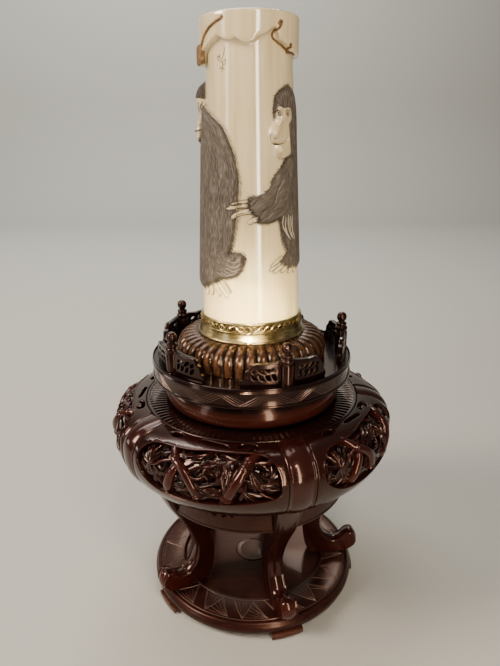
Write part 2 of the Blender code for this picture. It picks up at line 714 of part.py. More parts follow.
def hem_height(angle):
    """Height of the collar's hem at an angle in degrees."""
    for (a, low), (b, high) in zip(HEM, HEM[1:]):
        if a <= angle <= b:
            return TUSK_FOOT + TUSK_HEIGHT * (low + (high - low) * (angle - a) / (b - a))
    return TUSK_FOOT + TUSK_HEIGHT * HEM[0][1]


def figure(outline, rise):
    """A flat figure standing out from the ground and sunk a little below it, chamfered on its face."""
    loop = [(angle * TUSK_DEGREE, share * TUSK_HEIGHT) for angle, share in outline]
    return plate("figure", [loop], rise, -RELIEF_ROOT, RELIEF_CHAMFER)


def wrap(x, y, z):
    """Onto the tusk. The right monkey's back runs out low into the ground."""
    height = TUSK_FOOT + y
    angle = x / TUSK_DEGREE
    if z > 0 and 55 < angle < 130:
        z *= 1 - 0.75 * min((angle - 55) / 40, 1)
    return on_circle(tusk_radius(height) + z, math.radians(angle), height)


def make_tusk():
    hem = TUSK_TOP - COLLAR_DEPTH
    rim = 2.5 * MM
    profile = [
        (0, TUSK_FOOT + TUSK_FLOOR),
        (HOLLOW_FOOT_RADIUS, TUSK_FOOT + TUSK_FLOOR),
        (HOLLOW_RIM_RADIUS, TUSK_TOP),
        (COLLAR_RADIUS - 0.4 * rim, TUSK_TOP),
        (COLLAR_RADIUS, TUSK_TOP - rim),
        (COLLAR_RADIUS - 0.4 * MM, hem),
        (TUSK_NECK_RADIUS, hem - 0.5 * MM),
        (TUSK_FOOT_RADIUS, TUSK_FOOT),
        (0, TUSK_FOOT),
    ]
    tube = turned("tusk", profile, TUSK_SIDES)

    def drape(shape):
        for vert in shape.verts:
            if hem - 1 * MM < vert.co.z < hem + 1 * MM and vert.co.xy.length > HOLLOW_FOOT_RADIUS * 0.85:
                angle = math.degrees(math.atan2(vert.co.x, -vert.co.y))
                shift = hem_height(angle) - hem
                outward = vert.co.xy.length
                if outward < COLLAR_RADIUS - 1 * MM:
                    vert.co.xy *= tusk_radius(vert.co.z + shift) / outward
                vert.co.z += shift

    edit_mesh(tube, drape)
    figures = [
        figure(LEFT_BODY, FUR_RELIEF),
        figure(LEFT_HEAD, TURNED_HEAD_RELIEF),
        figure(LEFT_PAWS, PAW_RELIEF),
        figure(RIGHT_BODY, FUR_RELIEF),
        figure(RIGHT_HEAD, HEAD_RELIEF),
        figure(RIGHT_MUZZLE, MUZZLE_RELIEF),
        figure(RIGHT_PAWS, PAW_RELIEF),
        figure(RIGHT_FOOT, PAW_RELIEF),
        figure(BACK_BODY, FUR_RELIEF),
        figure(BACK_HEAD, HEAD_RELIEF),
    ]
    relief = lightened(combined("relief", figures[0], figures[1:]), 1)
    step = 360 / TUSK_SIDES * TUSK_DEGREE
    bend(relief, wrap, [k * 2 * step for k in range(-TUSK_SIDES // 4, TUSK_SIDES // 2)])
    add_object("tusk_vase", lightened(combined("tusk", tube, [relief]), 6), IVORY)


make_pads()
make_base_board()
make_legs()
make_aprons()
make_panels()
make_top_board()
make_gallery_ring()
make_posts()
make_wings()
make_cushion()
make_brass_ring()
make_tusk()
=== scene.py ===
"""Carved ivory tusk vase in a brass ring, on a ribbed cushion and a railed, pierced rosewood stand. Pieces
are modelled in millimetres, +Z up, front -Y, and finished() turns each to metres. Angles round the axis are
counted in degrees from the front towards +X."""

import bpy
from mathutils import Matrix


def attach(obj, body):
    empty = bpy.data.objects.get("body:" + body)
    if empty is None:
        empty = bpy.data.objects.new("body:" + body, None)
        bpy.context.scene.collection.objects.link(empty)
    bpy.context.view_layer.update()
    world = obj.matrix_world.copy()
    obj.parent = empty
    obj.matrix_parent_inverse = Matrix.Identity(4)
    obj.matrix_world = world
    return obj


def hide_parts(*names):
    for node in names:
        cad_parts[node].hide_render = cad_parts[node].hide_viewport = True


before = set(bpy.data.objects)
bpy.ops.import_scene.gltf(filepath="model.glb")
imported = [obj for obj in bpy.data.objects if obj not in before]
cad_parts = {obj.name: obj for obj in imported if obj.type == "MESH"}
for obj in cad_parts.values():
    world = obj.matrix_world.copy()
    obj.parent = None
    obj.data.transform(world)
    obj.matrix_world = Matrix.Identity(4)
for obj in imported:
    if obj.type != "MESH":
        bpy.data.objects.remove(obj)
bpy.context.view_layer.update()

import math

import bpy
import numpy as np
from mathutils import Matrix, Vector
from mathutils.bvhtree import BVHTree

# Base board: one turned disc of rosewood, sunk in the middle round a low boss, its flat border scored with a
# zigzag and fans of lines, its edge a rounded moulding. It stands on five loose pads.

MM = 0.001
BOARD_TOP = 19
BOARD_SIDES = 128
# Radius and height
BOARD_PROFILE = [
    (112.6, 7), (114.6, 8.2), (115.6, 10.5), (115.6, 13), (114.9, 15), (113.6, 16.2), (113.2, 16.8),
    (112.6, 18.2), (111.4, BOARD_TOP), (109.6, BOARD_TOP), (109, 18.4), (108.2, 18.4), (107.8, 18.9),
    (82.4, 18.9), (81.6, 18.5), (80.4, 17.2), (79.6, 16.8), (76, 16.6), (20.4, 16.6), (19.6, 17.2),
    (18.4, 17.3), (17.2, 16.9), (14, 17), (3, 17.1),
]
BORDER_INNER = 83
BORDER_OUTER = 106.5
CIRCLE_RADII = (107.6, 82.6)
ZIGZAGS = 16
FAN_LINES = 5
SCORE_WIDTH = 0.75
FAN_WIDTH = 0.5
CIRCLE_WIDTH = 0.8
SCORE_HEIGHT = BOARD_TOP - 0.2


def linear(colour):
    """The shader's linear colour from an sRGB hex value."""
    values = [int(colour[place : place + 2], 16) / 255 for place in (0, 2, 4)]
    return [v / 12.92 if v <= 0.04045 else ((v + 0.055) / 1.055) ** 2.4 for v in values] + [1.0]


def set_socket(node, key, value):
    """Sets a socket's plain value, a colour as sRGB hex."""
    node.inputs[key].default_value = linear(value) if isinstance(value, str) else value


def linked(material, node, links):
    """Links a node's inputs from other nodes: from the first output, or from the one given with the node."""
    for key, source in links.items():
        source, output = source if isinstance(source, tuple) else (source, 0)
        material.node_tree.links.new(source.outputs[output], node.inputs[key])


def add_node(material, kind, settings, links=None):
    """Adds a node of a kind, sets its properties, sockets or colour stops, and links its inputs."""
    node = material.node_tree.nodes.new("ShaderNode" + kind)
    for key, value in settings.items():
        if key == "stops":
            while len(node.color_ramp.elements) < len(value):
                node.color_ramp.elements.new(0.5)
            for element, (position, colour) in zip(node.color_ramp.elements, value):
                element.position = position
                element.color = linear(colour)
        elif isinstance(key, str) and hasattr(node, key):
            setattr(node, key, value)
        else:
            set_socket(node, key, value)
    linked(material, node, links or {})
    return node


def new_material(name, settings):
    """A material whose shader sockets have these plain values, and its shader."""
    material = bpy.data.materials.new(name)
    material.use_nodes = True
    shader = material.node_tree.nodes["Principled BSDF"]
    for key, value in settings.items():
        set_socket(shader, key, value)
    return material, shader


def rosewood(name, along, dark, body, red, gloss, rough):
    """Dark rosewood, oiled and polished to a hard gloss. It gives the eye a near-black body, soft streaks 3
    mm wide that run with the grain, a deep red where tone is high, dusty brown cuts where dust is, and
    reflections warmed by the stain. On the legs' toes and on the gallery's neck the red of tone is painted
    light, a painted glow where the light falls."""
    wood, shader = new_material(
        name,
        {
            "Coat Weight": gloss,
            "Coat Roughness": 0.04,
            "IOR": 1.5,
            "Specular IOR Level": 0.4,
            "Specular Tint": "EBAF95",
        },
    )
    place = add_node(wood, "TexCoord", {})
    with_grain = add_node(wood, "Mapping", {"Scale": along}, {"Vector": (place, "Object")})
    streaks = add_node(
        wood, "TexNoise", {"Scale": 1 / (3 * MM), "Detail": 3.0, "Distortion": 0.5}, {"Vector": with_grain}
    )
    clouds = add_node(
        wood, "TexNoise", {"Scale": 1 / (22 * MM), "Detail": 2.0}, {"Vector": (place, "Object")}
    )
    both = add_node(wood, "Math", {"operation": "MULTIPLY_ADD", 1: 0.6}, {0: clouds, 2: streaks})
    colours = add_node(wood, "ValToRGB", {"stops": [(0.45, dark), (1.0, body)]}, {0: both})
    tone = add_node(wood, "Attribute", {"attribute_name": "tone"})
    warm = add_node(wood, "Mix", {"data_type": "RGBA", 7: red}, {0: (tone, "Fac"), 6: colours})
    dust = add_node(wood, "Attribute", {"attribute_name": "dust"})
    dusty = add_node(wood, "Mix", {"data_type": "RGBA", 7: "66524A"}, {0: (dust, "Fac"), 6: (warm, 2)})
    worn = add_node(wood, "MapRange", {"To Min": rough, "To Max": rough + 0.12}, {"Value": clouds})
    # Pores of 0.35 mm, too fine for the view, are drawn 0.8 mm long
    pores = add_node(wood, "TexNoise", {"Scale": 1 / (0.8 * MM), "Detail": 1.0}, {"Vector": with_grain})
    bump = add_node(wood, "Bump", {"Strength": 0.06, "Distance": 0.1 * MM}, {"Height": pores})
    linked(wood, shader, {"Base Color": (dusty, 2), "Roughness": worn, "Normal": bump})
    return wood


board_wood = rosewood("polished rosewood board", (0.1, 1, 1), "120807", "2A120F", "38110B", 0.05, 0.24)


def marked(piece, name, values):
    """Gives a part an attribute that its material reads: one value, or one for each of its points."""
    mark = piece.data.attributes.new(name, "FLOAT", "POINT")
    mark.data.foreach_set("value", np.full(len(piece.data.vertices), values, np.float32))
    return piece


def round_the_axis(radius, degrees, height):
    turn = math.radians(degrees)
    return Vector((radius * math.sin(turn), -radius * math.cos(turn), height))


def placed(name, data):
    """A new object in the scene with this data."""
    thing = bpy.data.objects.new(name, data)
    bpy.context.scene.collection.objects.link(thing)
    return thing


def picked(*pieces):
    """Selects these pieces alone, the first of them active."""
    bpy.ops.object.select_all(action="DESELECT")
    for piece in pieces:
        piece.select_set(True)
    bpy.context.view_layer.objects.active = pieces[0]


def made_sound(merge=0):
    """Merges the active mesh's points that lie closer than so many mm, and turns its faces outwards."""
    bpy.ops.object.mode_set(mode="EDIT")
    bpy.ops.mesh.select_all(action="SELECT")
    if merge:
        bpy.ops.mesh.remove_doubles(threshold=merge)
    bpy.ops.mesh.normals_make_consistent(inside=False)
    bpy.ops.object.mode_set(mode="OBJECT")


def applied():
    """Puts the active object's place in its mesh."""
    bpy.ops.object.transform_apply(location=True, rotation=True, scale=True)
    return bpy.context.object


def finished(piece, name, material, replaced, smooth=35):
    """Ends the work on a piece: metres, place in the mesh, smooth shading, material, and its place in the
    frame."""
    picked(piece)
    applied()
    piece.data.transform(Matrix.Scale(MM, 4))
    bpy.ops.object.shade_smooth_by_angle(angle=math.radians(smooth))
    piece.name = piece.data.name = name
    piece.data.materials.clear()
    piece.data.materials.append(material)
    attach(piece, "root")
    if replaced:
        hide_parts(*replaced)


def turned(profile, sides):
    """Turns a closed piece: a disc of the first radius, extruded and resized from one (radius, height) to the
    next. Where the last point is the first again, the piece is a ring."""
    ring = profile[0] == profile[-1]
    radius, height = profile[0]
    bpy.ops.object.select_all(action="DESELECT")
    bpy.ops.mesh.primitive_circle_add(
        vertices=sides, radius=radius, fill_type="NOTHING" if ring else "NGON", location=(0, 0, height)
    )
    bpy.ops.object.mode_set(mode="EDIT")
    for next_radius, next_height in profile[1:]:
        share = next_radius / radius
        bpy.ops.mesh.extrude_region_move(TRANSFORM_OT_translate={"value": (0, 0, next_height - height)})
        bpy.ops.transform.resize(value=(share, share, 1), center_override=(0, 0, next_height))
        radius, height = next_radius, next_height
    made_sound(0.01)
    return applied()


def drawn(runs, sides=1, closed=False):
    """Round strands along runs of (point, radius), drawn as one curve and made a mesh."""
    curve = bpy.data.curves.new("strands", "CURVE")
    curve.dimensions = "3D"
    curve.bevel_depth = 1
    curve.bevel_resolution = sides
    curve.use_fill_caps = not closed
    for run in runs:
        spline = curve.splines.new("POLY")
        spline.points.add(len(run) - 1)
        for point, (place, radius) in zip(spline.points, run):
            point.co = (*place, 1)
            point.radius = radius
        spline.use_cyclic_u = closed
    picked(placed("strands", curve))
    bpy.ops.object.convert(target="MESH")
    return bpy.context.object


def joined(first, *others):
    """The first piece with the others in its mesh."""
    picked(first, *others)
    bpy.ops.object.join()
    return first


def scored(start, end, width):
    """A line scored in the border from one (radius, degrees) to another."""
    run = []
    for part in range(7):
        radius, degrees = (a + (b - a) * part / 6 for a, b in zip(start, end))
        run.append((round_the_axis(radius, degrees, SCORE_HEIGHT), width / 2))
    return run


runs = []
unit = 360 / ZIGZAGS
for number in range(ZIGZAGS):
    # Two limbs lie side by side and a third comes back to the inner edge; fans spread from the outer corners
    start = number * unit
    first, second, after = start + 0.36 * unit, start + 0.72 * unit, start + unit
    runs.append(scored((BORDER_INNER, start), (BORDER_OUTER, first), SCORE_WIDTH))
    runs.append(scored((BORDER_INNER, first), (BORDER_OUTER, second), SCORE_WIDTH))
    runs.append(scored((BORDER_OUTER, second), (BORDER_INNER, after), SCORE_WIDTH))
    for line in range(FAN_LINES):
        share = (line + 0.5) / FAN_LINES
        limb = (BORDER_OUTER + (BORDER_INNER - BORDER_OUTER) * share, start - 0.28 * unit * (1 - share))
        base = (BORDER_INNER + 2, first + (after - first) * share)
        runs.append(scored((BORDER_OUTER - 0.5, first - 0.5), limb, FAN_WIDTH))
        runs.append(scored((BORDER_OUTER - 1, second), base, FAN_WIDTH))
circles = []
for radius in CIRCLE_RADII:
    circles.append([(round_the_axis(radius, 3 * k, BOARD_TOP - 0.25), CIRCLE_WIDTH / 2) for k in range(120)])
board = joined(
    turned(BOARD_PROFILE, BOARD_SIDES),
    marked(drawn(runs, 0), "dust", 0.65),
    marked(drawn(circles, 0, True), "dust", 0.35),
)
finished(board, "scored_base_board", board_wood, ["base_board"])

# Pads: five short blocks of the same wood, sawn to the board's curve and glued under its edge below the legs.
# Their feet are cut back a little all round and their edges are worn.

FOLDS = 5
BAY = 360 / FOLDS
LEG_TURN = 17.5
CLEARANCE = 0.3
PAD_HEIGHT = 7
PAD_LENGTH = 34
PAD_DEPTH = 22
PAD_OUTER = 117.6
PAD_FOOT = 1
PAD_CUT_BACK = 0.9

pad_wood = rosewood("rosewood block", (1, 1, 0.15), "2A1510", "4E2A20", "6A3A28", 0.2, 0.16)


def bevelled(piece, width, segments):
    """Rounds the piece's sharp edges, as wear does."""
    bevel = piece.modifiers.new("worn edges", "BEVEL")
    bevel.width = width
    bevel.segments = segments
    bevel.angle_limit = math.radians(50)
    bpy.ops.object.modifier_apply(modifier=bevel.name)


def copied_round(piece, made, cad, turn, material, smooth=35):
    """Turns a piece modelled at the front to its first place, and copies it on round the axis. The names have
    a gap for the copy's number."""
    for number in range(FOLDS):
        copy = placed("copy", piece.data.copy())
        copy.data.transform(Matrix.Rotation(math.radians(turn + number * BAY), 4, "Z"))
        finished(copy, made.format(number + 1), material, [cad.format(number + 1)], smooth)
    bpy.data.objects.remove(piece)


pad_middle = -PAD_OUTER + PAD_DEPTH / 2
bpy.ops.object.select_all(action="DESELECT")
bpy.ops.mesh.primitive_cube_add(size=1, location=(0, pad_middle, PAD_HEIGHT / 2))
bpy.context.object.scale = (PAD_LENGTH, PAD_DEPTH, PAD_HEIGHT - CLEARANCE)
pad = applied()
bpy.ops.object.mode_set(mode="EDIT")
bpy.ops.mesh.subdivide(number_cuts=9)
bpy.ops.object.mode_set(mode="OBJECT")
for vert in pad.data.vertices:
    vert.co.y += PAD_OUTER - math.sqrt(PAD_OUTER**2 - vert.co.x**2)
    if vert.co.z < PAD_FOOT:
        vert.co.x *= PAD_CUT_BACK
        vert.co.y = pad_middle + (vert.co.y - pad_middle) * PAD_CUT_BACK
    vert.co.z -= CLEARANCE / 2
bevelled(pad, 1.8, 3)
made_sound(0.01)
copied_round(pad, "curved_pad_{}", "foot_pad_{}", LEG_TURN, pad_wood)

# Legs: each sawn from one board of rosewood, a strap that is let in over the drum, then a reversed curve
# down to an upturned square scroll toe. The front is worked to a rounded face between two thin beads.

CLEAR_HEIGHT = 138
UNDERSIDE = BOARD_TOP + CLEAR_HEIGHT
BELLY_HEIGHT = UNDERSIDE + 44
BELLY_RADIUS = 147.5
BELLY_CORE = 105
BELLY_FULLNESS = 2.3
BELLY_DROP = 44
BELLY_RISE = 27.5
CROWN_RADIUS = 112.5
TURN_RADIUS = 121
DRUM_WALL = 9
ANKLE_WIDTH = 17
STRAP_WIDTH = 26
STRAP_STEPS = 12
LEG_FOOT = BOARD_TOP + CLEARANCE
LEG_TENON = 12
# Shares of the radius where the leg meets the drum, and of the height under the drum
LEG_FRONT = [
    (0.955, 0.90), (0.88, 0.755), (0.785, 0.615), (0.697, 0.465), (0.65, 0.32), (0.675, 0.195), (0.756, 0.12),
    (0.84, 0.125), (0.90, 0.18), (0.965, 0.192), (1.008, 0.138), (0.996, 0.072), (0.924, 0.02), (0.83, 0),
]
LEG_BACK = [
    (0.555, 0), (0.504, 0.116), (0.487, 0.275), (0.538, 0.435), (0.639, 0.609), (0.739, 0.768), (0.80, 0.88),
]
# Round the worked face: shares of half the width, and how far out in mm. The last two lie inside the wood.
LEG_FACE = [
    (-1, -1.6), (-0.985, -0.9), (-0.93, -0.35), (-0.86, -0.45), (-0.81, -1.05), (-0.76, -1.1), (-0.62, -0.2),
    (-0.4, 0.55), (-0.2, 0.9), (0, 1), (0.2, 0.9), (0.4, 0.55), (0.62, -0.2), (0.76, -1.1), (0.81, -1.05),
    (0.86, -0.45), (0.93, -0.35), (0.985, -0.9), (1, -1.6), (0.9, -3.2), (-0.9, -3.2),
]

leg_wood = rosewood("polished rosewood upright", (1, 1, 0.1), "0C0505", "1E0B09", "42130B", 0.3, 0.14)


def belly_point(angle, inset=0.0):
    """(radius, height) on the drum's section: angle 90 at the crown, 0 at the belly, -90 underneath."""
    turn = math.radians(angle)
    across = abs(math.cos(turn)) ** (2 / BELLY_FULLNESS)
    up = math.copysign(abs(math.sin(turn)) ** (2 / BELLY_FULLNESS), turn)
    height = (BELLY_RISE if angle > 0 else BELLY_DROP) - inset
    return Vector((BELLY_CORE + (BELLY_RADIUS - BELLY_CORE - inset) * across, BELLY_HEIGHT + height * up))


def crown_angle(radius, inset=0.0):
    share = (radius - BELLY_CORE) / (BELLY_RADIUS - BELLY_CORE - inset)
    return math.degrees(math.acos(share ** (BELLY_FULLNESS / 2)))


def smooth_run(points, parts, closed=False):
    """A smooth line through points, in a number of parts between each two."""
    points = [Vector(point) for point in points]
    count = len(points)
    run = []
    for index in range(count if closed else count - 1):
        if closed:
            a, b, c, d = (points[(index + k) % count] for k in (-1, 0, 1, 2))
        else:
            a, b, c, d = (points[min(max(index + k, 0), count - 1)] for k in (-1, 0, 1, 2))
        for part in range(parts):
            t = part / parts
            bend = (2 * a - 5 * b + 4 * c - d) * t**2 + (3 * b - a - 3 * c + d) * t**3
            run.append(0.5 * (2 * b + (c - a) * t + bend))
    return run if closed else run + [points[-1]]


def leg_half_width(height):
    share = min(max(((height - BOARD_TOP) / CLEAR_HEIGHT - 0.35) / 0.6, 0), 1)
    return (ANKLE_WIDTH + (STRAP_WIDTH - ANKLE_WIDTH) * share) / 2


def leg_line(shares):
    """Points of the leg's section from shares of its reach and height."""
    return [(TURN_RADIUS * reach, LEG_FOOT + up * CLEAR_HEIGHT) for reach, up in shares]


def plate(loops, front, back, rounding, steps=2):
    """A flat plate between two levels of Z, its outline the first loop and its holes the rest, with rounded
    edges."""
    curve = bpy.data.curves.new("plate", "CURVE")
    curve.dimensions = "2D"
    curve.fill_mode = "BOTH"
    curve.extrude = (front - back) / 2 - rounding
    curve.bevel_depth = rounding
    curve.bevel_resolution = steps
    curve.offset = -rounding
    for loop in loops:
        spline = curve.splines.new("POLY")
        spline.points.add(len(loop) - 1)
        for point, place in zip(spline.points, loop):
            point.co = (place[0], place[1], 0, 1)
        spline.use_cyclic_u = True
    sheet = placed("plate", curve)
    picked(sheet)
    sheet.location.z = (front + back) / 2
    bpy.ops.object.convert(target="MESH")
    applied()
    made_sound(0.005)
    return bpy.context.object


crown = crown_angle(CROWN_RADIUS)
strap = [belly_point(crown + (-70 - crown) * k / STRAP_STEPS) for k in range(STRAP_STEPS + 1)]
front_line = smooth_run(strap + [(TURN_RADIUS, UNDERSIDE)] + leg_line(LEG_FRONT), 5)
normals = []
for index, point in enumerate(front_line):
    way = (front_line[min(index + 1, len(front_line) - 1)] - front_line[max(index - 1, 0)]).normalized()
    normals.append(Vector((-way.y, way.x)))

verts, faces = [], []
for point, normal in zip(front_line, normals):
    half = leg_half_width(point.y)
    for share, out in LEG_FACE:
        place = point + normal * out
        verts.append((share * half, -place.x, max(place.y, LEG_FOOT)))
wide = len(LEG_FACE)
for row in range(len(front_line) - 1):
    for column in range(wide):
        corner, beside = row * wide + column, row * wide + (column + 1) % wide
        faces.append((corner, corner + wide, beside + wide, beside))
faces += [tuple(range(wide)), tuple(range(len(verts) - wide, len(verts)))]
face_mesh = bpy.data.meshes.new("leg face")
face_mesh.from_pydata(verts, [], faces)

shelf = BELLY_HEIGHT + BELLY_RISE - DRUM_WALL
tenon = [(BELLY_CORE, shelf - 0.8 * DRUM_WALL), (CROWN_RADIUS - LEG_TENON, shelf - 0.8 * DRUM_WALL)]
tenon += [(CROWN_RADIUS - LEG_TENON, shelf), (CROWN_RADIUS, shelf)]
outline = [point - normal * 1.2 for point, normal in zip(front_line, normals)]
outline += smooth_run(leg_line(LEG_BACK) + [(TURN_RADIUS - 2 * DRUM_WALL, UNDERSIDE + 0.5 * DRUM_WALL)], 4)
outline += [belly_point(angle, DRUM_WALL) for angle in (-60, -45, -30, -15, 0, 15, 30)]
outline = [(radius, max(height, LEG_FOOT)) for radius, height in outline + tenon]
leg = plate([outline], 1, -1, 0)
for vert in leg.data.vertices:
    across = leg_half_width(vert.co.y) * (1 if vert.co.z > 0 else -1)
    vert.co = (across, -vert.co.x, vert.co.y)
leg = joined(leg, placed("leg face", face_mesh))
made_sound()
# Painted light: the toes, below 45 mm and far out, are marked redder (tone 0.5), a painted orange glow where
# the light falls on them; the rest of the leg is a little red all over (0.15).
tones = [0.5 if vert.co.z < 45 and vert.co.y < -100 else 0.15 for vert in leg.data.vertices]
marked(leg, "tone", tones)
copied_round(leg, "moulded_leg_{}", "leg_{}", LEG_TURN, leg_wood, 40)

# Aprons: five bent boards that close the waist between the legs under the drum. Each is pierced with a small
# cloud of four holes and has a bead along its lower edge.

APRON_RADIUS = 104
APRON_THICKNESS = 7
APRON_DROP = 34
APRON_PARTS = 28
APRON_HOLES = [
    [(-9, -14), (-4, -11), (-1.2, -14), (-4, -17.5)], [(9, -14), (4, -11), (1.2, -14), (4, -17.5)],
    [(-16, -13.5), (-12.5, -12), (-11, -14), (-13, -16)], [(16, -13.5), (12.5, -12), (11, -14), (13, -16)],
]


def bay_half_angle(radius, height):
    """Half the angle between two neighbouring legs' faces, in degrees."""
    return BAY / 2 - math.degrees(math.asin((leg_half_width(height) + CLEARANCE) / radius))


def cut_in_rows(piece, columns, rows):
    """Cuts a flat plate along lines of constant x and y, so that it can be bent."""
    picked(piece)
    bpy.ops.object.mode_set(mode="EDIT")
    for way, cuts in (((1, 0, 0), columns), ((0, 1, 0), rows)):
        for cut in cuts:
            bpy.ops.mesh.select_all(action="SELECT")
            bpy.ops.mesh.bisect(plane_co=[cut * share for share in way], plane_no=way, threshold=0.1)
    bpy.ops.object.mode_set(mode="OBJECT")


apron_half = APRON_RADIUS * math.radians(bay_half_angle(APRON_RADIUS, UNDERSIDE))
apron_cuts = [apron_half * (2 * k / APRON_PARTS - 1) for k in range(APRON_PARTS + 1)]
board_edge = [(-apron_half, 0), (apron_half, 0), (apron_half, -APRON_DROP), (-apron_half, -APRON_DROP)]
holes = [smooth_run(hole, 4, True) for hole in APRON_HOLES]
apron = plate([board_edge, *holes], 0, -APRON_THICKNESS, 0.8)
cut_in_rows(apron, apron_cuts[1:-1], [])
apron = joined(apron, drawn([[((x, -APRON_DROP + 2.6, -CLEARANCE), 0.9) for x in apron_cuts]]))
for vert in apron.data.vertices:
    radius, height = APRON_RADIUS + vert.co.z, UNDERSIDE - CLEARANCE + vert.co.y
    vert.co = round_the_axis(radius, vert.co.x / apron_half * bay_half_angle(radius, height), height)
copied_round(apron, "pierced_apron_{}", "apron_{}", LEG_TURN + BAY / 2, board_wood)

# Panels: five swollen walls of the drum, each carved from one block. A cartouche is pierced through and
# filled with two jointed canes, their branches and layers of pointed leaves; small commas are cut in the
# shoulder.

SECTION_STEPS = 120
PANEL_FOOT_RADIUS = 98
PANEL_COLUMNS = 32
PANEL_ROWS = 34
CARTOUCHE = [
    (-0.92, 0.34), (-0.87, 0.24), (-0.72, 0.165), (-0.25, 0.14), (0.13, 0.11), (0.72, 0.13), (0.88, 0.22),
    (0.92, 0.36), (0.86, 0.46), (0.38, 0.51), (-0.31, 0.545), (-0.66, 0.51), (-0.86, 0.43),
]
COMMAS = [
    [(-0.69, 0.05), (-0.64, 0.022), (-0.55, 0.013), (-0.48, 0.026), (-0.5, 0.058), (-0.6, 0.068)],
    [(-0.13, 0.02), (0.06, 0.024), (0.25, 0.044), (0.27, 0.07), (0.05, 0.054), (-0.13, 0.044)],
    [(0.42, 0.05), (0.46, 0.024), (0.57, 0.015), (0.68, 0.03), (0.71, 0.056), (0.67, 0.082), (0.59, 0.09),
      (0.6, 0.07), (0.62, 0.054), (0.56, 0.043), (0.5, 0.048), (0.45, 0.064)],
]
# Runs across and along, widths at the run's ends, the shares of the run at which a joint rings the cane,
# how far its middle and its ends lie in the wall, and how warm it is
CANES = [
    ([(-0.52, 0.09), (-0.41, 0.19), (-0.35, 0.24), (-0.25, 0.282), (-0.18, 0.324), (-0.12, 0.38),
      (-0.03, 0.52)], (8.5, 9.5), (0.34, 0.93), 0, 3, 0.3),
    ([(0.74, 0.08), (0.63, 0.137), (0.56, 0.179), (0.51, 0.236), (0.46, 0.296), (0.4, 0.356), (0.34, 0.432),
      (0.27, 0.52)], (9, 12), (0.27, 0.41, 0.9), 0, 3, 0.35),
    ([(-0.31, 0.25), (-0.34, 0.31), (-0.39, 0.38), (-0.43, 0.45), (-0.46, 0.52)], (6, 12.5), (), 0.8, 4,
      0.45),
    ([(-0.34, 0.236), (-0.51, 0.275), (-0.60, 0.318), (-0.72, 0.341)], (3, 2.2), (), 0.2, 0.6, 0.4),
    ([(-0.15, 0.3), (-0.14, 0.327), (-0.08, 0.338), (-0.01, 0.334), (0.04, 0.313), (0.04, 0.289),
      (0.06, 0.258), (0.12, 0.23)], (2.4, 1.8), (), 0.2, 0.8, 0.3),
    ([(0.68, 0.41), (0.8, 0.452), (0.88, 0.478), (0.925, 0.462), (0.9, 0.438)], (2.6, 1.8), (), 0.4, 1, 0.3),
    ([(-0.2, 0.26), (-0.1, 0.21), (0.05, 0.19), (0.2, 0.2), (0.34, 0.17), (0.45, 0.11)], (3, 4), (0.5,), 3.2,
      4, 0.2),
    ([(0.45, 0.3), (0.6, 0.33), (0.78, 0.39), (0.92, 0.4)], (3, 2), (), 2, 3, 0.2),
    ([(-0.95, 0.42), (-0.78, 0.4), (-0.62, 0.43), (-0.5, 0.5)], (4, 5), (0.5,), 3.5, 4, 0.2),
]
# Sprays of leaves: foot across and along, depth, and each leaf's direction in degrees from straight down
# the face, length and width
SPRAYS = [
    ((-0.69, 0.335), 0.2, [(247, 18, 5), (216, 18, 5), (197, 21, 5), (180, 20, 4.5), (159, 20, 4.5),
      (140, 18, 4.5)]),
    ((-0.14, 0.215), 0.3, [(128, 18, 6.5), (100, 13, 5)]),
    ((-0.02, 0.25), 1.6, [(70, 16, 6), (110, 20, 6.5), (150, 15, 5)]),
    ((0.215, 0.305), 0.2, [(211, 11, 3), (194, 12, 3), (176, 12.5, 3), (160, 13, 3)]),
    ((0.30, 0.42), 0.3, [(154, 30, 7.5), (170, 26, 6.5), (190, 20, 6)]),
    ((0.62, 0.2), 0.2, [(96, 21, 5.5), (72, 14, 4.5)]),
    ((0.59, 0.25), 0.3, [(8, 20, 5.5), (24, 25, 5.5), (42, 24, 5), (60, 26, 5)]),
    ((0.68, 0.345), 0.5, [(72, 19, 5.5), (52, 14, 5), (92, 15, 4.5)]),
    ((0.30, 0.23), 1.4, [(20, 16, 5.5), (-15, 15, 5), (50, 12, 5)]),
    ((-0.02, 0.40), 0.8, [(85, 22, 6), (110, 18, 5.5), (60, 20, 6), (35, 17, 5.5)]),
    ((0.12, 0.46), 1.2, [(-60, 20, 6), (100, 14, 5), (-95, 16, 5)]),
    ((0.5, 0.40), 1.0, [(20, 16, 5), (45, 20, 5.5), (-20, 14, 5), (75, 22, 5)]),
    ((-0.60, 0.40), 2.0, [(-40, 18, 7), (-75, 20, 7), (-10, 16, 6), (40, 14, 6)]),
    ((-0.84, 0.36), 2.5, [(20, 18, 6), (55, 18, 6), (-25, 12, 5)]),
    ((-0.3, 0.19), 1.2, [(60, 12, 5), (100, 16, 5)]),
    ((-0.24, 0.46), 1.6, [(160, 14, 5), (60, 16, 5), (100, 13, 5), (-60, 12, 5)]),
    ((0.36, 0.17), 1.8, [(-90, 18, 6), (-50, 16, 6), (-120, 14, 5)]),
    ((0.82, 0.3), 1.6, [(180, 16, 5), (150, 14, 5), (-30, 16, 5), (10, 16, 5)]),
]
BACK_ROWS = 6
BACK_COLUMNS = 11
# Across one leaf and up from it: a sunk midrib between two rounded halves, the edges turned down
LEAF_WIDE = [(-1, -0.9), (-0.6, 0.45), (-0.25, 0.3), (0, -0.35), (0.25, 0.3), (0.6, 0.45), (1, -0.9)]

panel_wood = rosewood("carved and polished rosewood", (1, 1, 0.15), "070303", "140605", "40130B", 0.3, 0.12)


def section_run(inset):
    """The panel's section at a depth in the wall, from the crown round to the underside's inner edge."""
    top = crown_angle(CROWN_RADIUS, inset)
    run = [belly_point(top + (-90 - top) * step / SECTION_STEPS, inset) for step in range(SECTION_STEPS + 1)]
    return np.array(run + [Vector((PANEL_FOOT_RADIUS, UNDERSIDE + inset))])


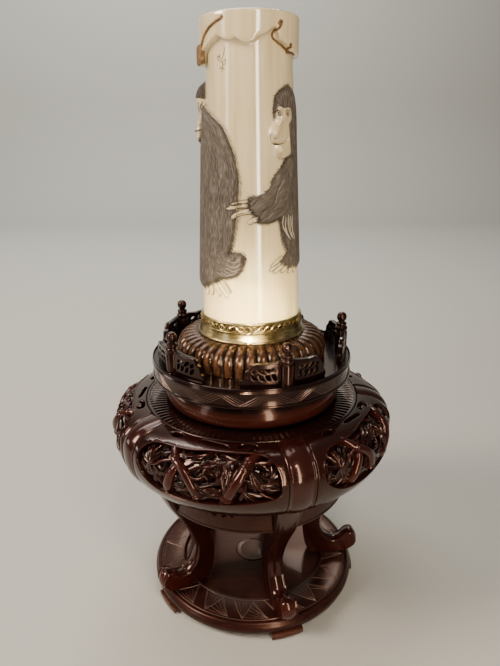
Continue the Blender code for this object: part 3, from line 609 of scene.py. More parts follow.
outer_run, inner_run = section_run(0), section_run(DRUM_WALL)
run_lengths = np.concatenate([[0], np.cumsum(np.hypot(*np.diff(outer_run, axis=0).T))])
RUN_LENGTH = run_lengths[-1]
PANEL_HALF = BELLY_RADIUS * math.radians(bay_half_angle(BELLY_RADIUS, BELLY_HEIGHT))


def on_panel(across, along, depth):
    """A point of a panel from its flat drawing: across the bay, down the face, into the wall."""
    outer = [np.interp(along, run_lengths, outer_run[:, axis]) for axis in (0, 1)]
    inner = [np.interp(along, run_lengths, inner_run[:, axis]) for axis in (0, 1)]
    radius, height = (o + (i - o) * depth / DRUM_WALL for o, i in zip(outer, inner))
    return round_the_axis(radius, across / PANEL_HALF * bay_half_angle(radius, height), height)


def panel_drawing(loop):
    return [(across * PANEL_HALF, along * RUN_LENGTH) for across, along in loop]


def cane_joint(middle, way, radius):
    """Two thin rings round a cane, a millimetre to each side of a point of it."""
    rings = []
    for shift in (-1, 1):
        circle = []
        for k in range(14):
            turn = 2 * math.pi * k / 14
            across = Vector((-way.y, way.x, 0)) * math.cos(turn) * radius * 1.13
            lift = Vector((0, 0, math.sin(turn) * radius * 1.13))
            circle.append((middle + Vector((way.x, way.y, 0)) * shift + across + lift, 0.5))
        rings.append(circle)
    return rings


openings = [smooth_run(panel_drawing(loop), 6, True) for loop in (CARTOUCHE, *COMMAS)]
wall = plate([panel_drawing([(-1, 0), (1, 0), (1, 1), (-1, 1)]), *openings], 0, -DRUM_WALL, 1)
cut_in_rows(
    marked(wall, "tone", 0.1),
    [PANEL_HALF * (2 * k / PANEL_COLUMNS - 1) for k in range(1, PANEL_COLUMNS)],
    [RUN_LENGTH * k / PANEL_ROWS for k in range(1, PANEL_ROWS)],
)
rim_bead = [((point.x, point.y, 0.1), 0.7) for point in openings[0]]
parts = [wall, marked(drawn([rim_bead], 1, True), "tone", 0.3)]
for points, (first, last), joints, depth, ends, tone in CANES:
    line = smooth_run(panel_drawing(points), 10)
    lengths = [0]
    for a, b in zip(line, line[1:]):
        lengths.append(lengths[-1] + (b - a).length)
    run, rings = [], []
    for index, (place, length) in enumerate(zip(line, lengths)):
        share = length / lengths[-1]
        radius = (first + (last - first) * share) / 2
        sunk = depth + (ends - depth) * (2 * abs(share - 0.5)) ** 3
        middle = Vector((place.x, place.y, -sunk - 0.6 * radius))
        near = min((abs(length - joint * lengths[-1]) for joint in joints), default=math.inf)
        run.append((middle, radius * (1 + 0.14 * math.exp(-((near / 1.4) ** 2)))))
        if near <= lengths[-1] / (len(line) - 1) / 2:
            way = (line[min(index + 1, len(line) - 1)] - line[max(index - 1, 0)]).normalized()
            rings += cane_joint(middle, way, radius)
    parts.append(marked(drawn([run], 4), "tone", tone))
    if rings:
        parts.append(marked(drawn(rings, 1, True), "tone", 0.5))

# The back layers: sprays in rows over the whole opening, deep in the wall, turned a little further each time
sprays = list(SPRAYS)
turn = 0
for row in range(BACK_ROWS):
    for column in range(BACK_COLUMNS):
        turn += 67
        foot = (-0.86 + 0.172 * (column + 0.5 * (row % 2)), 0.155 + 0.068 * row)
        leaves = [((turn + 120 * k) % 360, 15 + (turn + k) % 5, 6) for k in range(3)]
        if foot[0] < 0.9:
            sprays.append((foot, 4.6 + 0.9 * ((row + column) % 3), leaves))

# One leaf a unit long, which every leaf is copied from
bpy.ops.object.select_all(action="DESELECT")
bpy.ops.mesh.primitive_grid_add(x_subdivisions=6, y_subdivisions=6, size=1)
leaf = bpy.context.object
for vert in leaf.data.vertices:
    across, up = LEAF_WIDE[round((vert.co.x + 0.5) * 6)]
    along = vert.co.y + 0.5
    full = math.sin(math.pi * min(max(along, 0.02), 0.985) ** 0.8)
    vert.co = (across * full, along, up * full)
thick = leaf.modifiers.new("thickness", "SOLIDIFY")
thick.thickness = 0.9
thick.offset = -1
bpy.ops.object.modifier_apply(modifier=thick.name)
for index, (foot, depth, leaves) in enumerate(sprays):
    in_front = depth < 4
    middle = Vector(panel_drawing([foot])[0])
    for number, (direction, length, width) in enumerate(leaves):
        blade = placed("leaf", leaf.data.copy())
        turn = math.radians(direction)
        way, side = Vector((math.sin(turn), math.cos(turn))), Vector((math.cos(turn), -math.sin(turn)))
        lift = (number % 3 - 1) * 0.5
        for vert in blade.data.vertices:
            place = middle + way * vert.co.y * length + side * vert.co.x * width / 2
            droop = 1.6 * vert.co.y**2 if in_front else 0
            vert.co = (place.x, place.y, vert.co.z * 1.2 - depth - 0.5 + lift - droop)
        parts.append(marked(blade, "tone", 0.08 * ((index * 3 + number * 5) % 4) if in_front else 0))
bpy.data.objects.remove(leaf)
panel = joined(*parts)
for vert in panel.data.vertices:
    vert.co = on_panel(vert.co.x, vert.co.y, -vert.co.z)
made_sound()
copied_round(panel, "carved_panel_{}", "bamboo_panel_{}", LEG_TURN + BAY / 2, panel_wood, 50)

# Top board: a turned ring that closes the drum, level with its crown, with a rounded bead near the edge.
# Inside the bead the face is cut all round with radial ribs that run in under the gallery's neck.

TOP_LEDGE = 224.8
# Radius, and height over the ledge under the gallery
TOP_PROFILE = [
    (66, -5), (111.6, -5), (111.9, 2.9), (111.4, 3.4), (110.6, 3.5), (109.8, 3.4), (109.2, 3), (108.8, 2.7),
    (108, 2.7), (104, 2.8), (100, 2.6), (96, 2.4), (92, 2), (89.4, 1.4), (88, 0), (66, 0), (66, -5),
]
FLUTES = 112
FLUTE_COLUMNS = 5
FLUTE_DEPTH = 1.3
FLUTE_REACH = 108.5

top = turned([(radius, TOP_LEDGE + up) for radius, up in TOP_PROFILE], FLUTE_COLUMNS * FLUTES)
for vert in top.data.vertices:
    if vert.co.z > TOP_LEDGE + 1 and vert.co.xy.length < FLUTE_REACH:
        phase = math.atan2(vert.co.y, vert.co.x) / (2 * math.pi) * FLUTES
        vert.co.z -= FLUTE_DEPTH * (1 - abs(math.cos(math.pi * phase)) ** 0.6)
top_wood = rosewood("turned and fluted rosewood", (0.12, 1, 1), "0C0505", "1D0B09", "38110B", 0.3, 0.16)
finished(top, "fluted_top_board", top_wood, ["top_board"], 60)

# Gallery: a torus neck under a banded floor, turned in one. The band is scored with a zigzag of four lines
# a limb between two beads, and the floor carries posts and wings.

NECK_FOOT = 225.1
BAND_FOOT = 255.1
GALLERY_FLOOR = BAND_FOOT + 18
BAND_RADIUS = 102.5
BAND_ZIGZAGS = 15
BAND_TURN = -3.5
# Radius, and height over the neck's foot
NECK_PROFILE = [
    (81, 0), (85.6, 0.6), (88.4, 2.6), (90.1, 6), (90.9, 10), (90.9, 13), (90.1, 17), (88.6, 20.4),
    (86.8, 22.8), (86.2, 24.4), (86.8, 25.8), (89, 27.4), (93, 28.6), (97, 29.3),
]
# Radius, and height over the band's foot
BAND_PROFILE = [
    (101, 0.1), (102.6, 0.5), (103.5, 1.4), (103.6, 2.2), (103.3, 3), (102.6, 3.4), (BAND_RADIUS, 3.9),
    (BAND_RADIUS, 13.6), (102.6, 14.2), (103.3, 14.6), (103.6, 15.4), (103.5, 16.2), (102.8, 17.2),
    (102.6, 18.3), (103, 19), (102.8, 19.8), (102.3, 20), (101.8, 19.4), (101.4, 18), (10, 18),
]

ring_wood = rosewood("turned and polished rosewood", (0.12, 1, 1), "070303", "0E0505", "451C13", 0.15, 0.13)
profile = [(radius, NECK_FOOT + up) for radius, up in NECK_PROFILE]
profile += [(radius, BAND_FOOT + up) for radius, up in BAND_PROFILE]
gallery = turned(profile, 192)
# Painted light: the middle of the torus neck is marked redder (tone 0.5), a painted red glow of the light in
# the polished wood.
tones = []
for vert in gallery.data.vertices:
    on_neck = NECK_FOOT + 4 < vert.co.z < NECK_FOOT + 20 and vert.co.xy.length > 80
    tones.append(0.5 if on_neck else 0)
marked(gallery, "tone", tones)
runs = []
limb = 180 / BAND_ZIGZAGS
low, high = BAND_FOOT + 2.9, BAND_FOOT + 15
for number in range(2 * BAND_ZIGZAGS):
    start, end = (low, high) if number % 2 == 0 else (high, low)
    for shift in (-0.3, -0.1, 0.1, 0.3):
        run = []
        for part in range(7):
            share = part / 6
            degrees = (number + share + shift) * limb + BAND_TURN
            run.append((round_the_axis(BAND_RADIUS, degrees, start + (end - start) * share), 0.25))
        runs.append(run)
gallery = joined(gallery, marked(drawn(runs, 0), "dust", 0.38))
finished(gallery, "banded_gallery_ring", ring_wood, ["gallery_ring"])

# Posts: five turned pegs of the same wood, glued in round the gallery's floor, each a plain shaft, a pinched
# double neck and a polished ball.

GALLERY_TURN = 19.5
POST_CIRCLE = 94.5
POST_RADIUS = 6.3
POST_FOOT = GALLERY_FLOOR + CLEARANCE
# Radius, and height over the post's foot
POST_PROFILE = [
    (POST_RADIUS, 0), (POST_RADIUS, 0.8), (5.9, 1.2), (5.9, 1.9), (POST_RADIUS, 2.3), (POST_RADIUS, 19.5),
    (6, 20.2), (5.2, 20.6), (5.2, 21.2), (5.9, 21.8), (6.3, 23), (6.3, 24.4), (5.8, 25.4), (4.7, 26),
    (4.5, 26.5), (5.2, 27.2), (5.5, 28.3), (5.2, 29.4), (4.2, 30.1), (3, 30.7), (3, 31.2), (3.9, 31.9),
    (4.8, 33.3), (5.2, 35.3), (5, 37.2), (4.3, 38.8), (3.1, 40), (1.7, 40.7), (0.5, 40.8),
]

post = turned(POST_PROFILE, 24)
post.data.transform(Matrix.Translation((0, -POST_CIRCLE, POST_FOOT)))
copied_round(marked(post, "tone", 0.06), "turned_post_{}", "gallery_post_{}", GALLERY_TURN, ring_wood)

# Wings: a thin bent board on each side of a post, sawn to a stepped S at its end, pierced with a spray of
# small leaf-shaped holes and finished with a raised edge along the top.

WING_HEIGHT = 24.5
WING_HALF_THICKNESS = 2.5
WING_START = math.degrees((POST_RADIUS + CLEARANCE) / POST_CIRCLE)
WING_REACH = 26
WING_LENGTH = math.radians(WING_REACH - WING_START) * POST_CIRCLE
# Shares of the wing's length and height
WING_OUTLINE = [
    (0, 0), (1, 0), (1, 0.14), (0.965, 0.3), (0.9, 0.36), (0.885, 0.5), (0.86, 0.64), (0.78, 0.7),
    (0.755, 0.82), (0.7, 0.91), (0.6, 0.935), (0.4, 0.92), (0.2, 0.955), (0, 1),
]
WING_HOLES = [
    [(0.12, 0.30), (0.2, 0.42), (0.22, 0.58), (0.14, 0.5)],
    [(0.14, 0.66), (0.22, 0.72), (0.34, 0.7), (0.3, 0.62), (0.2, 0.6)],
    [(0.28, 0.3), (0.36, 0.42), (0.34, 0.56), (0.28, 0.46)],
    [(0.42, 0.3), (0.5, 0.36), (0.52, 0.5), (0.45, 0.44)],
    [(0.4, 0.56), (0.48, 0.6), (0.56, 0.72), (0.46, 0.72)],
    [(0.58, 0.3), (0.68, 0.36), (0.7, 0.5), (0.62, 0.44)],
    [(0.6, 0.56), (0.68, 0.6), (0.7, 0.7), (0.62, 0.68)],
]
HOLE_GROWTH = 1.25

wing_size = Vector((WING_LENGTH, WING_HEIGHT))
loops = [[Vector(point) * wing_size for point in WING_OUTLINE]]
for hole in WING_HOLES:
    centre = sum((Vector(point) for point in hole), Vector((0, 0))) / len(hole)
    grown = [(centre + (Vector(point) - centre) * HOLE_GROWTH) * wing_size for point in hole]
    loops.append(smooth_run(grown, 3, True))
edge = []
for point in smooth_run(loops[0][2:], 3):
    edge.append(((point.x - 0.7 * point.y / WING_HEIGHT, point.y - 1.1, 2), 0.8))
for side, side_name in ((1, "right"), (-1, "left")):
    wing = plate(loops, WING_HALF_THICKNESS, -WING_HALF_THICKNESS, 0.6, 1)
    cut_in_rows(wing, [WING_LENGTH * k / 12 for k in range(1, 12)], [])
    wing = joined(wing, drawn([edge]))
    for vert in wing.data.vertices:
        angle = WING_START + vert.co.x / WING_LENGTH * (WING_REACH - WING_START)
        vert.co = round_the_axis(POST_CIRCLE + vert.co.z, side * angle, POST_FOOT + vert.co.y)
    made_sound()
    copied_round(
        wing, "pierced_wing_{}_" + side_name, "gallery_wing_{}_" + side_name, GALLERY_TURN, ring_wood
    )

# Cushion: a domed block of brown hardwood, carved all round with rounded ribs that run out from under the
# ring and down its side, and polished.

CUSHION_FOOT = 273.4
CUSHION_TOP = 298.9
CUSHION_DOME = [(55, 298.9), (60, 298.7), (66, 297.6), (71.5, 294.8), (75.4, 290.6), (77, 285.6), (76.8, 280)]
CUSHION_RIBS = 42
RIB_DEPTH = 2.3
RIB_COLUMNS = 8
RIBS_START = 54
RIBS_FULL = 62

cushion_wood, shader = new_material(
    "polished brown hardwood",
    {
        "Coat Weight": 0.15,
        "Coat Roughness": 0.08,
        "IOR": 1.5,
        "Specular IOR Level": 0.4,
        "Specular Tint": "F2C8A0",
    },
)
# Brown hardwood, stained and waxed: it gives the eye dark brown figure about 5 mm wide. The hollows between
# the ribs are painted darker and the crests a lighter, orange brown: painted shade and painted light.
place = add_node(cushion_wood, "TexCoord", {})
streaks = add_node(
    cushion_wood,
    "TexNoise",
    {"Scale": 1 / (5 * MM), "Detail": 2.0, "Distortion": 0.4},
    {"Vector": (place, "Object")},
)
# The tone read here is high on the ribs' crests: it paints them lighter, painted light, and the hollows
# darker, painted shade.
crest = add_node(cushion_wood, "Attribute", {"attribute_name": "tone"})
level = add_node(
    cushion_wood, "Math", {"operation": "MULTIPLY_ADD", 1: 0.45}, {0: streaks, 2: (crest, "Fac")}
)
colours = add_node(
    cushion_wood, "ValToRGB", {"stops": [(0.3, "050302"), (0.62, "1B0E08"), (1.0, "432919")]}, {0: level}
)
rough = add_node(cushion_wood, "MapRange", {"To Min": 0.16, "To Max": 0.34}, {"Value": streaks})
linked(cushion_wood, shader, {"Base Color": colours, "Roughness": rough})

dome = [tuple(point) for point in smooth_run(CUSHION_DOME + [(76.2, CUSHION_FOOT)], 5)]
cushion = turned([(10, CUSHION_TOP), (53, CUSHION_TOP)] + dome, CUSHION_RIBS * RIB_COLUMNS)
tones = []
normals = [vert.normal.copy() for vert in cushion.data.vertices]
for vert, normal in zip(cushion.data.vertices, normals):
    phase = math.atan2(vert.co.x, -vert.co.y) / (2 * math.pi) * CUSHION_RIBS
    crest = abs(math.cos(math.pi * phase)) ** 0.7
    grow = min(max((vert.co.xy.length - RIBS_START) / (RIBS_FULL - RIBS_START), 0), 1)
    if vert.co.z < CUSHION_FOOT + 0.5:
        normal.z = 0
    vert.co -= normal * RIB_DEPTH * (1 - crest) * grow
    # Painted light and shade: the tone marks each rib's crest high, to be painted lighter, and its hollow
    # low, to be painted dark.
    tones.append(0.1 + 0.6 * crest)
marked(cushion, "tone", tones)
finished(cushion, "ribbed_cushion", cushion_wood, ["gadrooned_cushion"], 60)

# Ring: a collar of sheet brass round the tusk's foot. An embossed braid runs between two lines on the upper
# half, the lower half flares out satin-smooth, and a thin bead is rolled on its foot.

TUSK_FOOT = 299.2
# Radius, and height over the tusk's foot
RING_PROFILE = [
    (50.4, 0), (54.2, 0), (54.6, 0.4), (54.7, 1), (54.5, 1.7), (53.9, 2.0), (53.3, 2.2), (52.95, 3.2),
    (52.4, 5.5), (51.9, 8), (51.6, 9.6), (51.75, 9.9), (51.8, 10.3), (51.6, 10.7), (51.3, 10.9), (51.15, 14),
    (50.95, 17.8), (51.1, 18.1), (51.15, 18.6), (51.0, 19), (50.7, 19.3), (50.7, 19.7), (50.5, 20),
    (49.6, 20), (50.4, 0),
]
BRAID_HEIGHT = 14.3
BRAID_WAVES = 48
BRAID_STEPS = 10
BRAID_RISE = 2.4

brass, shader = new_material("brass", {"Metallic": 1.0})
# Brass, raised by hand, polished and then dulled by age: it gives the eye soft golden reflections, brown in
# the hollows, with fine turning marks about 0.4 mm apart.
place = add_node(brass, "TexCoord", {})
marks_map = add_node(brass, "Mapping", {"Scale": (0.04, 0.04, 1)}, {"Vector": (place, "Object")})
marks = add_node(brass, "TexNoise", {"Scale": 1 / (0.4 * MM), "Detail": 2.0}, {"Vector": marks_map})
age = add_node(brass, "TexNoise", {"Scale": 1 / (9 * MM), "Detail": 4.0}, {"Vector": (place, "Object")})
hollow = add_node(brass, "Attribute", {"attribute_name": "tone"})
aged = add_node(brass, "Math", {"operation": "SUBTRACT"}, {0: age, 1: (hollow, "Fac")})
colours = add_node(
    brass, "ValToRGB", {"stops": [(0.0, "352B16"), (0.42, "8E7A4C"), (0.75, "C4B384")]}, {0: aged}
)
rough = add_node(brass, "MapRange", {"To Min": 0.2, "To Max": 0.38}, {"Value": marks})
bump = add_node(brass, "Bump", {"Strength": 0.2, "Distance": 0.05 * MM}, {"Height": marks})
linked(brass, shader, {"Base Color": colours, "Roughness": rough, "Normal": bump})

ring = turned([(radius, TUSK_FOOT + up) for radius, up in RING_PROFILE], 180)
tones = []
for vert in ring.data.vertices:
    in_hollow = 11 < vert.co.z - TUSK_FOOT < 17.8 and vert.co.xy.length > 50.5
    tones.append(0.5 if in_hollow else 0)
marked(ring, "tone", tones)
runs = []
for phase in (0, math.pi):
    run = []
    for k in range(BRAID_WAVES * BRAID_STEPS):
        turn = 2 * math.pi * k / (BRAID_WAVES * BRAID_STEPS)
        wave = turn * BRAID_WAVES / 2 + phase
        out = 51.25 + 0.25 * math.cos(2 * wave + math.pi - phase)
        height = TUSK_FOOT + BRAID_HEIGHT + BRAID_RISE * math.sin(wave)
        run.append((round_the_axis(out, math.degrees(turn), height), 0.55))
    runs.append(run)
beads = []
for k in range(BRAID_WAVES):
    degrees = 360 * (k + 0.5) / BRAID_WAVES
    bead = ((50.8, 0.7), (51.45, 0.65), (51.75, 0.3))
    beads.append([(round_the_axis(out, degrees, TUSK_FOOT + BRAID_HEIGHT), radius) for out, radius in bead])
ring = joined(ring, drawn(runs, 1, True), drawn(beads, 1))
finished(ring, "braided_brass_ring", brass, ["brass_ring"], 50)

# Tusk vase: one section of elephant tusk, hollowed and polished. The ground is cut back round the monkeys and
# under a collar carved like a cloth with a wavy hem; fur and features are engraved and stained brown.

TUSK_HEIGHT = 283.4
GROUND_FOOT = 50.1
GROUND_TOP = 38.8
GROUND_HEIGHT = TUSK_HEIGHT - 28
COLLAR_RADIUS = 44.3
TUSK_COLUMNS = 440
# Mm round the tusk for one degree
DEGREE = 0.677
# Heights of the rows of points, close together where the carving is fine. Those over HEM_START spread to
# the hem.
ROW_RUNS = [(0, 24, 4), (30, 58, 20), (59.5, 166, 76), (166.8, 233, 80), (235, 262, 14)]
HEM_START = 234
# Up the collar: shares of its height, and how far out
COLLAR_ROWS = [
    (0, -2.6), (0, -1), (0.02, -0.35), (0.05, 0), (0.2, 0), (0.4, 0), (0.6, 0), (0.8, 0), (0.92, 0),
    (0.965, -0.25), (0.99, -0.8), (1, -1.6),
]
# Down the inside: radius, and height over the foot
BORE_ROWS = [
    (36.2, TUSK_HEIGHT), (35, 283.1), (34.6, 282.2), (36.5, 230), (39, 160), (41.5, 80), (43.3, 12),
    (42.6, 9.3), (41, 9),
]
# Outlines are (degrees round from the front, mm above the tusk's foot)
HEM = [
    (-180, 256.5), (-130, 252.2), (-98, 246.5), (-78, 245.2), (-66, 256.4), (-52, 261.2), (-39, 265.6),
    (-30, 262.4), (-20, 261.2), (-16, 263.2), (-8, 259.2), (-3, 258.4), (5, 260.2), (10, 263.2), (18, 265.4),
    (26, 269.4), (31, 271.2), (36, 262), (47, 259), (62, 254.8), (74, 253.6), (100, 252.2), (140, 256.5),
    (180, 256.5),
]
LEFT_FUR = [
    (-80, 214), (-62, 207.8), (-48, 201.8), (-33, 193.8), (-23, 179.8), (-17, 167.8), (-13, 150.8),
    (-14, 132.8), (-16, 116.8), (-18, 103.8), (-21, 91), (-25.5, 85), (-21.8, 86), (-14, 86.6), (-8.9, 84.6),
    (-6.8, 80.6), (-7.8, 75), (-11.4, 69), (-17.6, 64), (-26, 62.2), (-33, 61.5), (-40, 57.9), (-48.4, 55.5),
    (-60, 50), (-74, 48.5), (-92, 56), (-106, 80), (-110, 130), (-110, 160), (-106, 174), (-97, 181.5),
    (-85, 182.5), (-80, 187), (-79.2, 200),
]
LEFT_TOES = [
    [(-37, 63), (-30, 58), (-24.5, 52.5), (-22.6, 49.5), (-25, 48.5), (-30, 52), (-38, 58)],
    [(-39, 60), (-33, 53.5), (-28.5, 48), (-27, 44.5), (-30, 44.5), (-35, 49.5), (-42, 56)],
    [(-43, 57), (-38, 51), (-36, 46), (-38.5, 44), (-42, 48), (-46, 54)],
    [(-50, 55), (-47, 49), (-48, 44.5), (-51, 44), (-54, 48), (-56, 53)],
    [(-60, 52), (-57, 47), (-58, 43), (-62, 43.5), (-65, 49)],
]
RIGHT_FUR = [
    (60, 172), (52.5, 169.3), (46.2, 166.2), (41.7, 161.3), (32, 154.8), (27, 147.8), (22.2, 140.8),
    (15, 137.7), (10.4, 135.8), (4, 135.4), (-0.5, 135.2), (-2, 130.6), (-1.6, 125.8), (2.2, 121.8),
    (6, 119.6), (9, 116.5), (10, 113.4), (19.2, 112.7), (27.4, 114), (34.2, 116.2), (36, 112), (37.6, 103.4),
    (39.4, 97.2), (42, 92), (45, 87), (46.5, 83.6), (42.4, 80.6), (36, 77.8), (39, 74.4), (43, 72.8),
    (50, 69.8), (56, 71), (64, 68.6), (74, 69), (96, 72.3), (108, 96.4), (108, 141.7), (100, 175.7),
    (84, 195.5),
]
RIGHT_HEAD = [
    (56, 227.4), (52.6, 227.2), (45.6, 225.4), (38.7, 222.1), (33.3, 218.6), (32, 214.6), (31, 210.1),
    (30.2, 205.6), (29.8, 201.7), (30.4, 198), (32, 196), (36, 186), (44, 172), (52.5, 168.6), (62, 168),
    (71, 174), (77, 192), (76, 208), (71, 217), (65.7, 222.5), (60, 226),
]
# The right face, bare ivory
FACE = [
    (31.9, 209.3), (34.7, 210.2), (39.4, 209), (45, 209.5), (49.5, 209.3), (51.8, 206.3), (51.6, 201.1),
    (49.6, 198.5), (47, 196.5), (47.4, 193.5), (48.2, 186.6), (48.8, 179.3), (49.2, 171.9), (47.6, 169.4),
    (43.2, 168.2), (37.9, 167.6), (33.5, 170), (30.5, 173.5), (29.6, 176.6), (30, 179.4), (28.6, 180.6),
    (26.5, 181.3), (25.4, 183.5), (24.6, 186.6), (24.4, 189.6), (25.6, 192.4), (27.4, 195.3), (29.9, 198),
    (31, 201.6), (31, 205.6),
]
LEFT_HEAD = [
    (-79, 205), (-79, 224), (-79.5, 231), (-86, 234), (-98, 234.2), (-110, 229), (-117, 218), (-120, 205),
    (-119, 190), (-112, 181), (-98, 178.5), (-84, 179), (-79.4, 186),
]
LEFT_FACE = [
    (-78.6, 218.6), (-78.8, 208), (-79, 200), (-79.4, 192), (-80, 187), (-82, 182), (-95, 179.5),
    (-108, 180.5), (-117, 188), (-119, 200), (-115, 214), (-104, 219), (-92, 219.4),
]
# How far the left head stands out, by height
LEFT_PROFILE = [
    (180, 3.4), (182.5, 4.8), (185, 6.9), (188, 7.4), (190.3, 6.6), (191.2, 7.4), (192, 8.8), (193.6, 8.6),
    (194.8, 7.2), (198, 7.1), (201, 6.8), (203.5, 6), (206, 5), (208, 5.6), (210.5, 6.4), (214, 6.8),
    (217.5, 7.1), (218.8, 7.6), (219.6, 8.7), (222, 8.5), (225, 7.8), (227.5, 6.7), (229.6, 5.4),
    (231.4, 3.9), (233, 2.2), (234.2, 0.6),
]
FINGERS = [
    [(-23.5, 129.7), (-17, 131.7), (-9.3, 132.9), (-1.9, 133.6), (0.5, 131.4), (-6.4, 130.9), (-15.5, 130),
      (-21.8, 129)],
    [(-26.4, 126.4), (-21.9, 128.1), (-14, 129), (-3.4, 130), (0, 128.4), (-3.4, 126.4), (-10.9, 126.1),
      (-18.7, 125.6), (-26, 125)],
    [(-21.6, 118.7), (-17.2, 122.3), (-11, 124.7), (-3.4, 125.7), (2.5, 124), (2.4, 121.6), (-3.5, 121.1),
      (-9.5, 120.2), (-14.9, 118.6), (-18.9, 116.9), (-21, 117.3)],
    [(-3.1, 113.8), (-0.6, 116.3), (5.6, 118.8), (9.4, 118), (10, 114.6), (2.5, 112.6), (-2.3, 112.2)],
]
RIGHT_TOES = [
    [(38, 82), (31, 79), (25.5, 75.8), (23, 73.6), (24.5, 72.6), (31, 75), (38, 78)],
    [(37, 78.6), (29, 75), (23, 71.4), (21.4, 69.4), (23.6, 68.7), (30, 71.4), (38, 75.4)],
    [(38, 75.6), (31, 71.6), (26, 68.6), (26.4, 66.9), (31, 67.2), (40, 71.6)],
    [(44, 72.8), (38, 69.6), (36, 67), (39, 66), (44, 68), (49, 70.6)],
    [(52, 70), (48, 67.2), (47.4, 64.6), (51, 64.6), (55, 68.6)],
    [(60, 70), (57, 66.6), (57.6, 63.8), (61, 64.4), (63, 68.6)],
]
BACK_FUR = [
    (176, 141.7), (161, 127.5), (153, 102), (152, 79.4), (160, 63.8), (180, 56.7), (201, 62.3), (210, 79.4),
    (208, 104.9), (199, 127.5), (188, 141.7),
]
BACK_HEAD = [
    (182, 170), (168, 164.4), (164, 150.2), (171, 136), (184, 131.8), (195, 138.9), (198, 153), (193, 165.8),
]
# Sockets, eyeballs, nose, cheek and chin: middle, half width, half height and rise
FACE_MOUNDS = [
    (33.6, 205, 2.6, 3.2, -0.9), (44.6, 205, 2.6, 3, -0.6), (33.6, 205.1, 1.2, 1.7, 0.9),
    (44.6, 205.1, 1.4, 1.7, 0.9), (26.8, 187.6, 2.4, 3.4, 1.5), (36, 188.5, 6.5, 5, 0.8),
    (33.8, 174.6, 3.6, 3.4, 1.7),
]
# The snout's ridge, then the nostril's fold, the mouth and the lip's fold: run, half width and depth
FACE_GROOVES = [
    ([(39, 202), (34.5, 198), (30, 193.5), (26.6, 188.5)], 2.8, -1.7),
    ([(27, 195), (30.4, 193.9), (33.8, 196.5), (37, 199.5)], 0.8, 0.5),
    ([(26.6, 180.8), (30, 180.2), (35, 179.9), (40, 181), (44, 184.2)], 0.9, 2.2),
    ([(27, 184.4), (32, 183.2), (40, 183.6)], 0.5, 0.5),
]
# Where the right face is repeated: the new middle, its middle on the right face, and shares of its size
LEFT_PLACE = (-96, 209, 44, 205, 1, 0.8)
BACK_PLACE = (181, 151, 44, 196, 0.72, 0.62)


def off_run(run, x, y):
    """Each point's distance from a run of points, in mm."""
    nearest = np.full(x.shape, 1e9)
    for (ax, ay), (bx, by) in zip(run, run[1:]):
        dx, dy = bx - ax, by - ay
        along = np.clip(((x - ax) * dx + (y - ay) * dy) / (dx * dx + dy * dy + 1e-12), 0, 1)
        nearest = np.minimum(nearest, np.hypot(x - ax - along * dx, y - ay - along * dy))
    return nearest


def inside(outline, x, y):
    """How far each point is inside a smoothed outline, in mm; negative outside."""
    loop = smooth_run([(a * DEGREE, height) for a, height in outline], 4, True)
    loop = np.array([(point.x, point.y) for point in loop + loop[:1]])
    nearest = off_run(loop, x, y)
    crossings = np.zeros(x.shape, bool)
    for (ax, ay), (bx, by) in zip(loop, loop[1:]):
        if ay != by:
            crossings ^= ((ay > y) != (by > y)) & (x < (bx - ax) * (y - ay) / (by - ay) + ax)
    return np.where(crossings, nearest, -nearest)


def swell(distance, rise, edge):
    """A rise with a rounded edge, from the distance inside an outline."""
    return rise * np.sqrt(1 - (1 - np.clip(distance / edge, 0, 1)) ** 2)


def mound(x, y, degrees, height, wide, tall, rise):
    """A soft rounded rise over an ellipse."""
    return rise * np.exp(-1.4 * (((x - degrees * DEGREE) / wide) ** 2 + ((y - height) / tall) ** 2))


def groove(x, y, run, wide, depth):
    """A rounded groove along a run of points."""
    return depth * np.exp(-((off_run([(a * DEGREE, height) for a, height in run], x, y) / wide) ** 2))


def face_forms(x, y):
    """The right face's brow, sockets, long snout, mouth and chin, as heights over its head."""
    form = swell(inside(FACE, x, y), 1.2, 2.2)
    for values in FACE_MOUNDS:
        form += mound(x, y, *values)
    for values in FACE_GROOVES:
        form -= groove(x, y, *values)
    return form


def moved(points, place):
    """Points drawn at one place and size, put at another."""
    a, height, from_a, from_height, wide, tall = place
    return [(a + (p - from_a) * wide, height + (q - from_height) * tall) for p, q in points]


def moved_back(degrees, y, place):
    """The points of the right face, in mm, that lie at these points of its repeat."""
    a, height, from_a, from_height, wide, tall = place
    return ((degrees - a) / wide + from_a) * DEGREE, (y - height) / tall + from_height


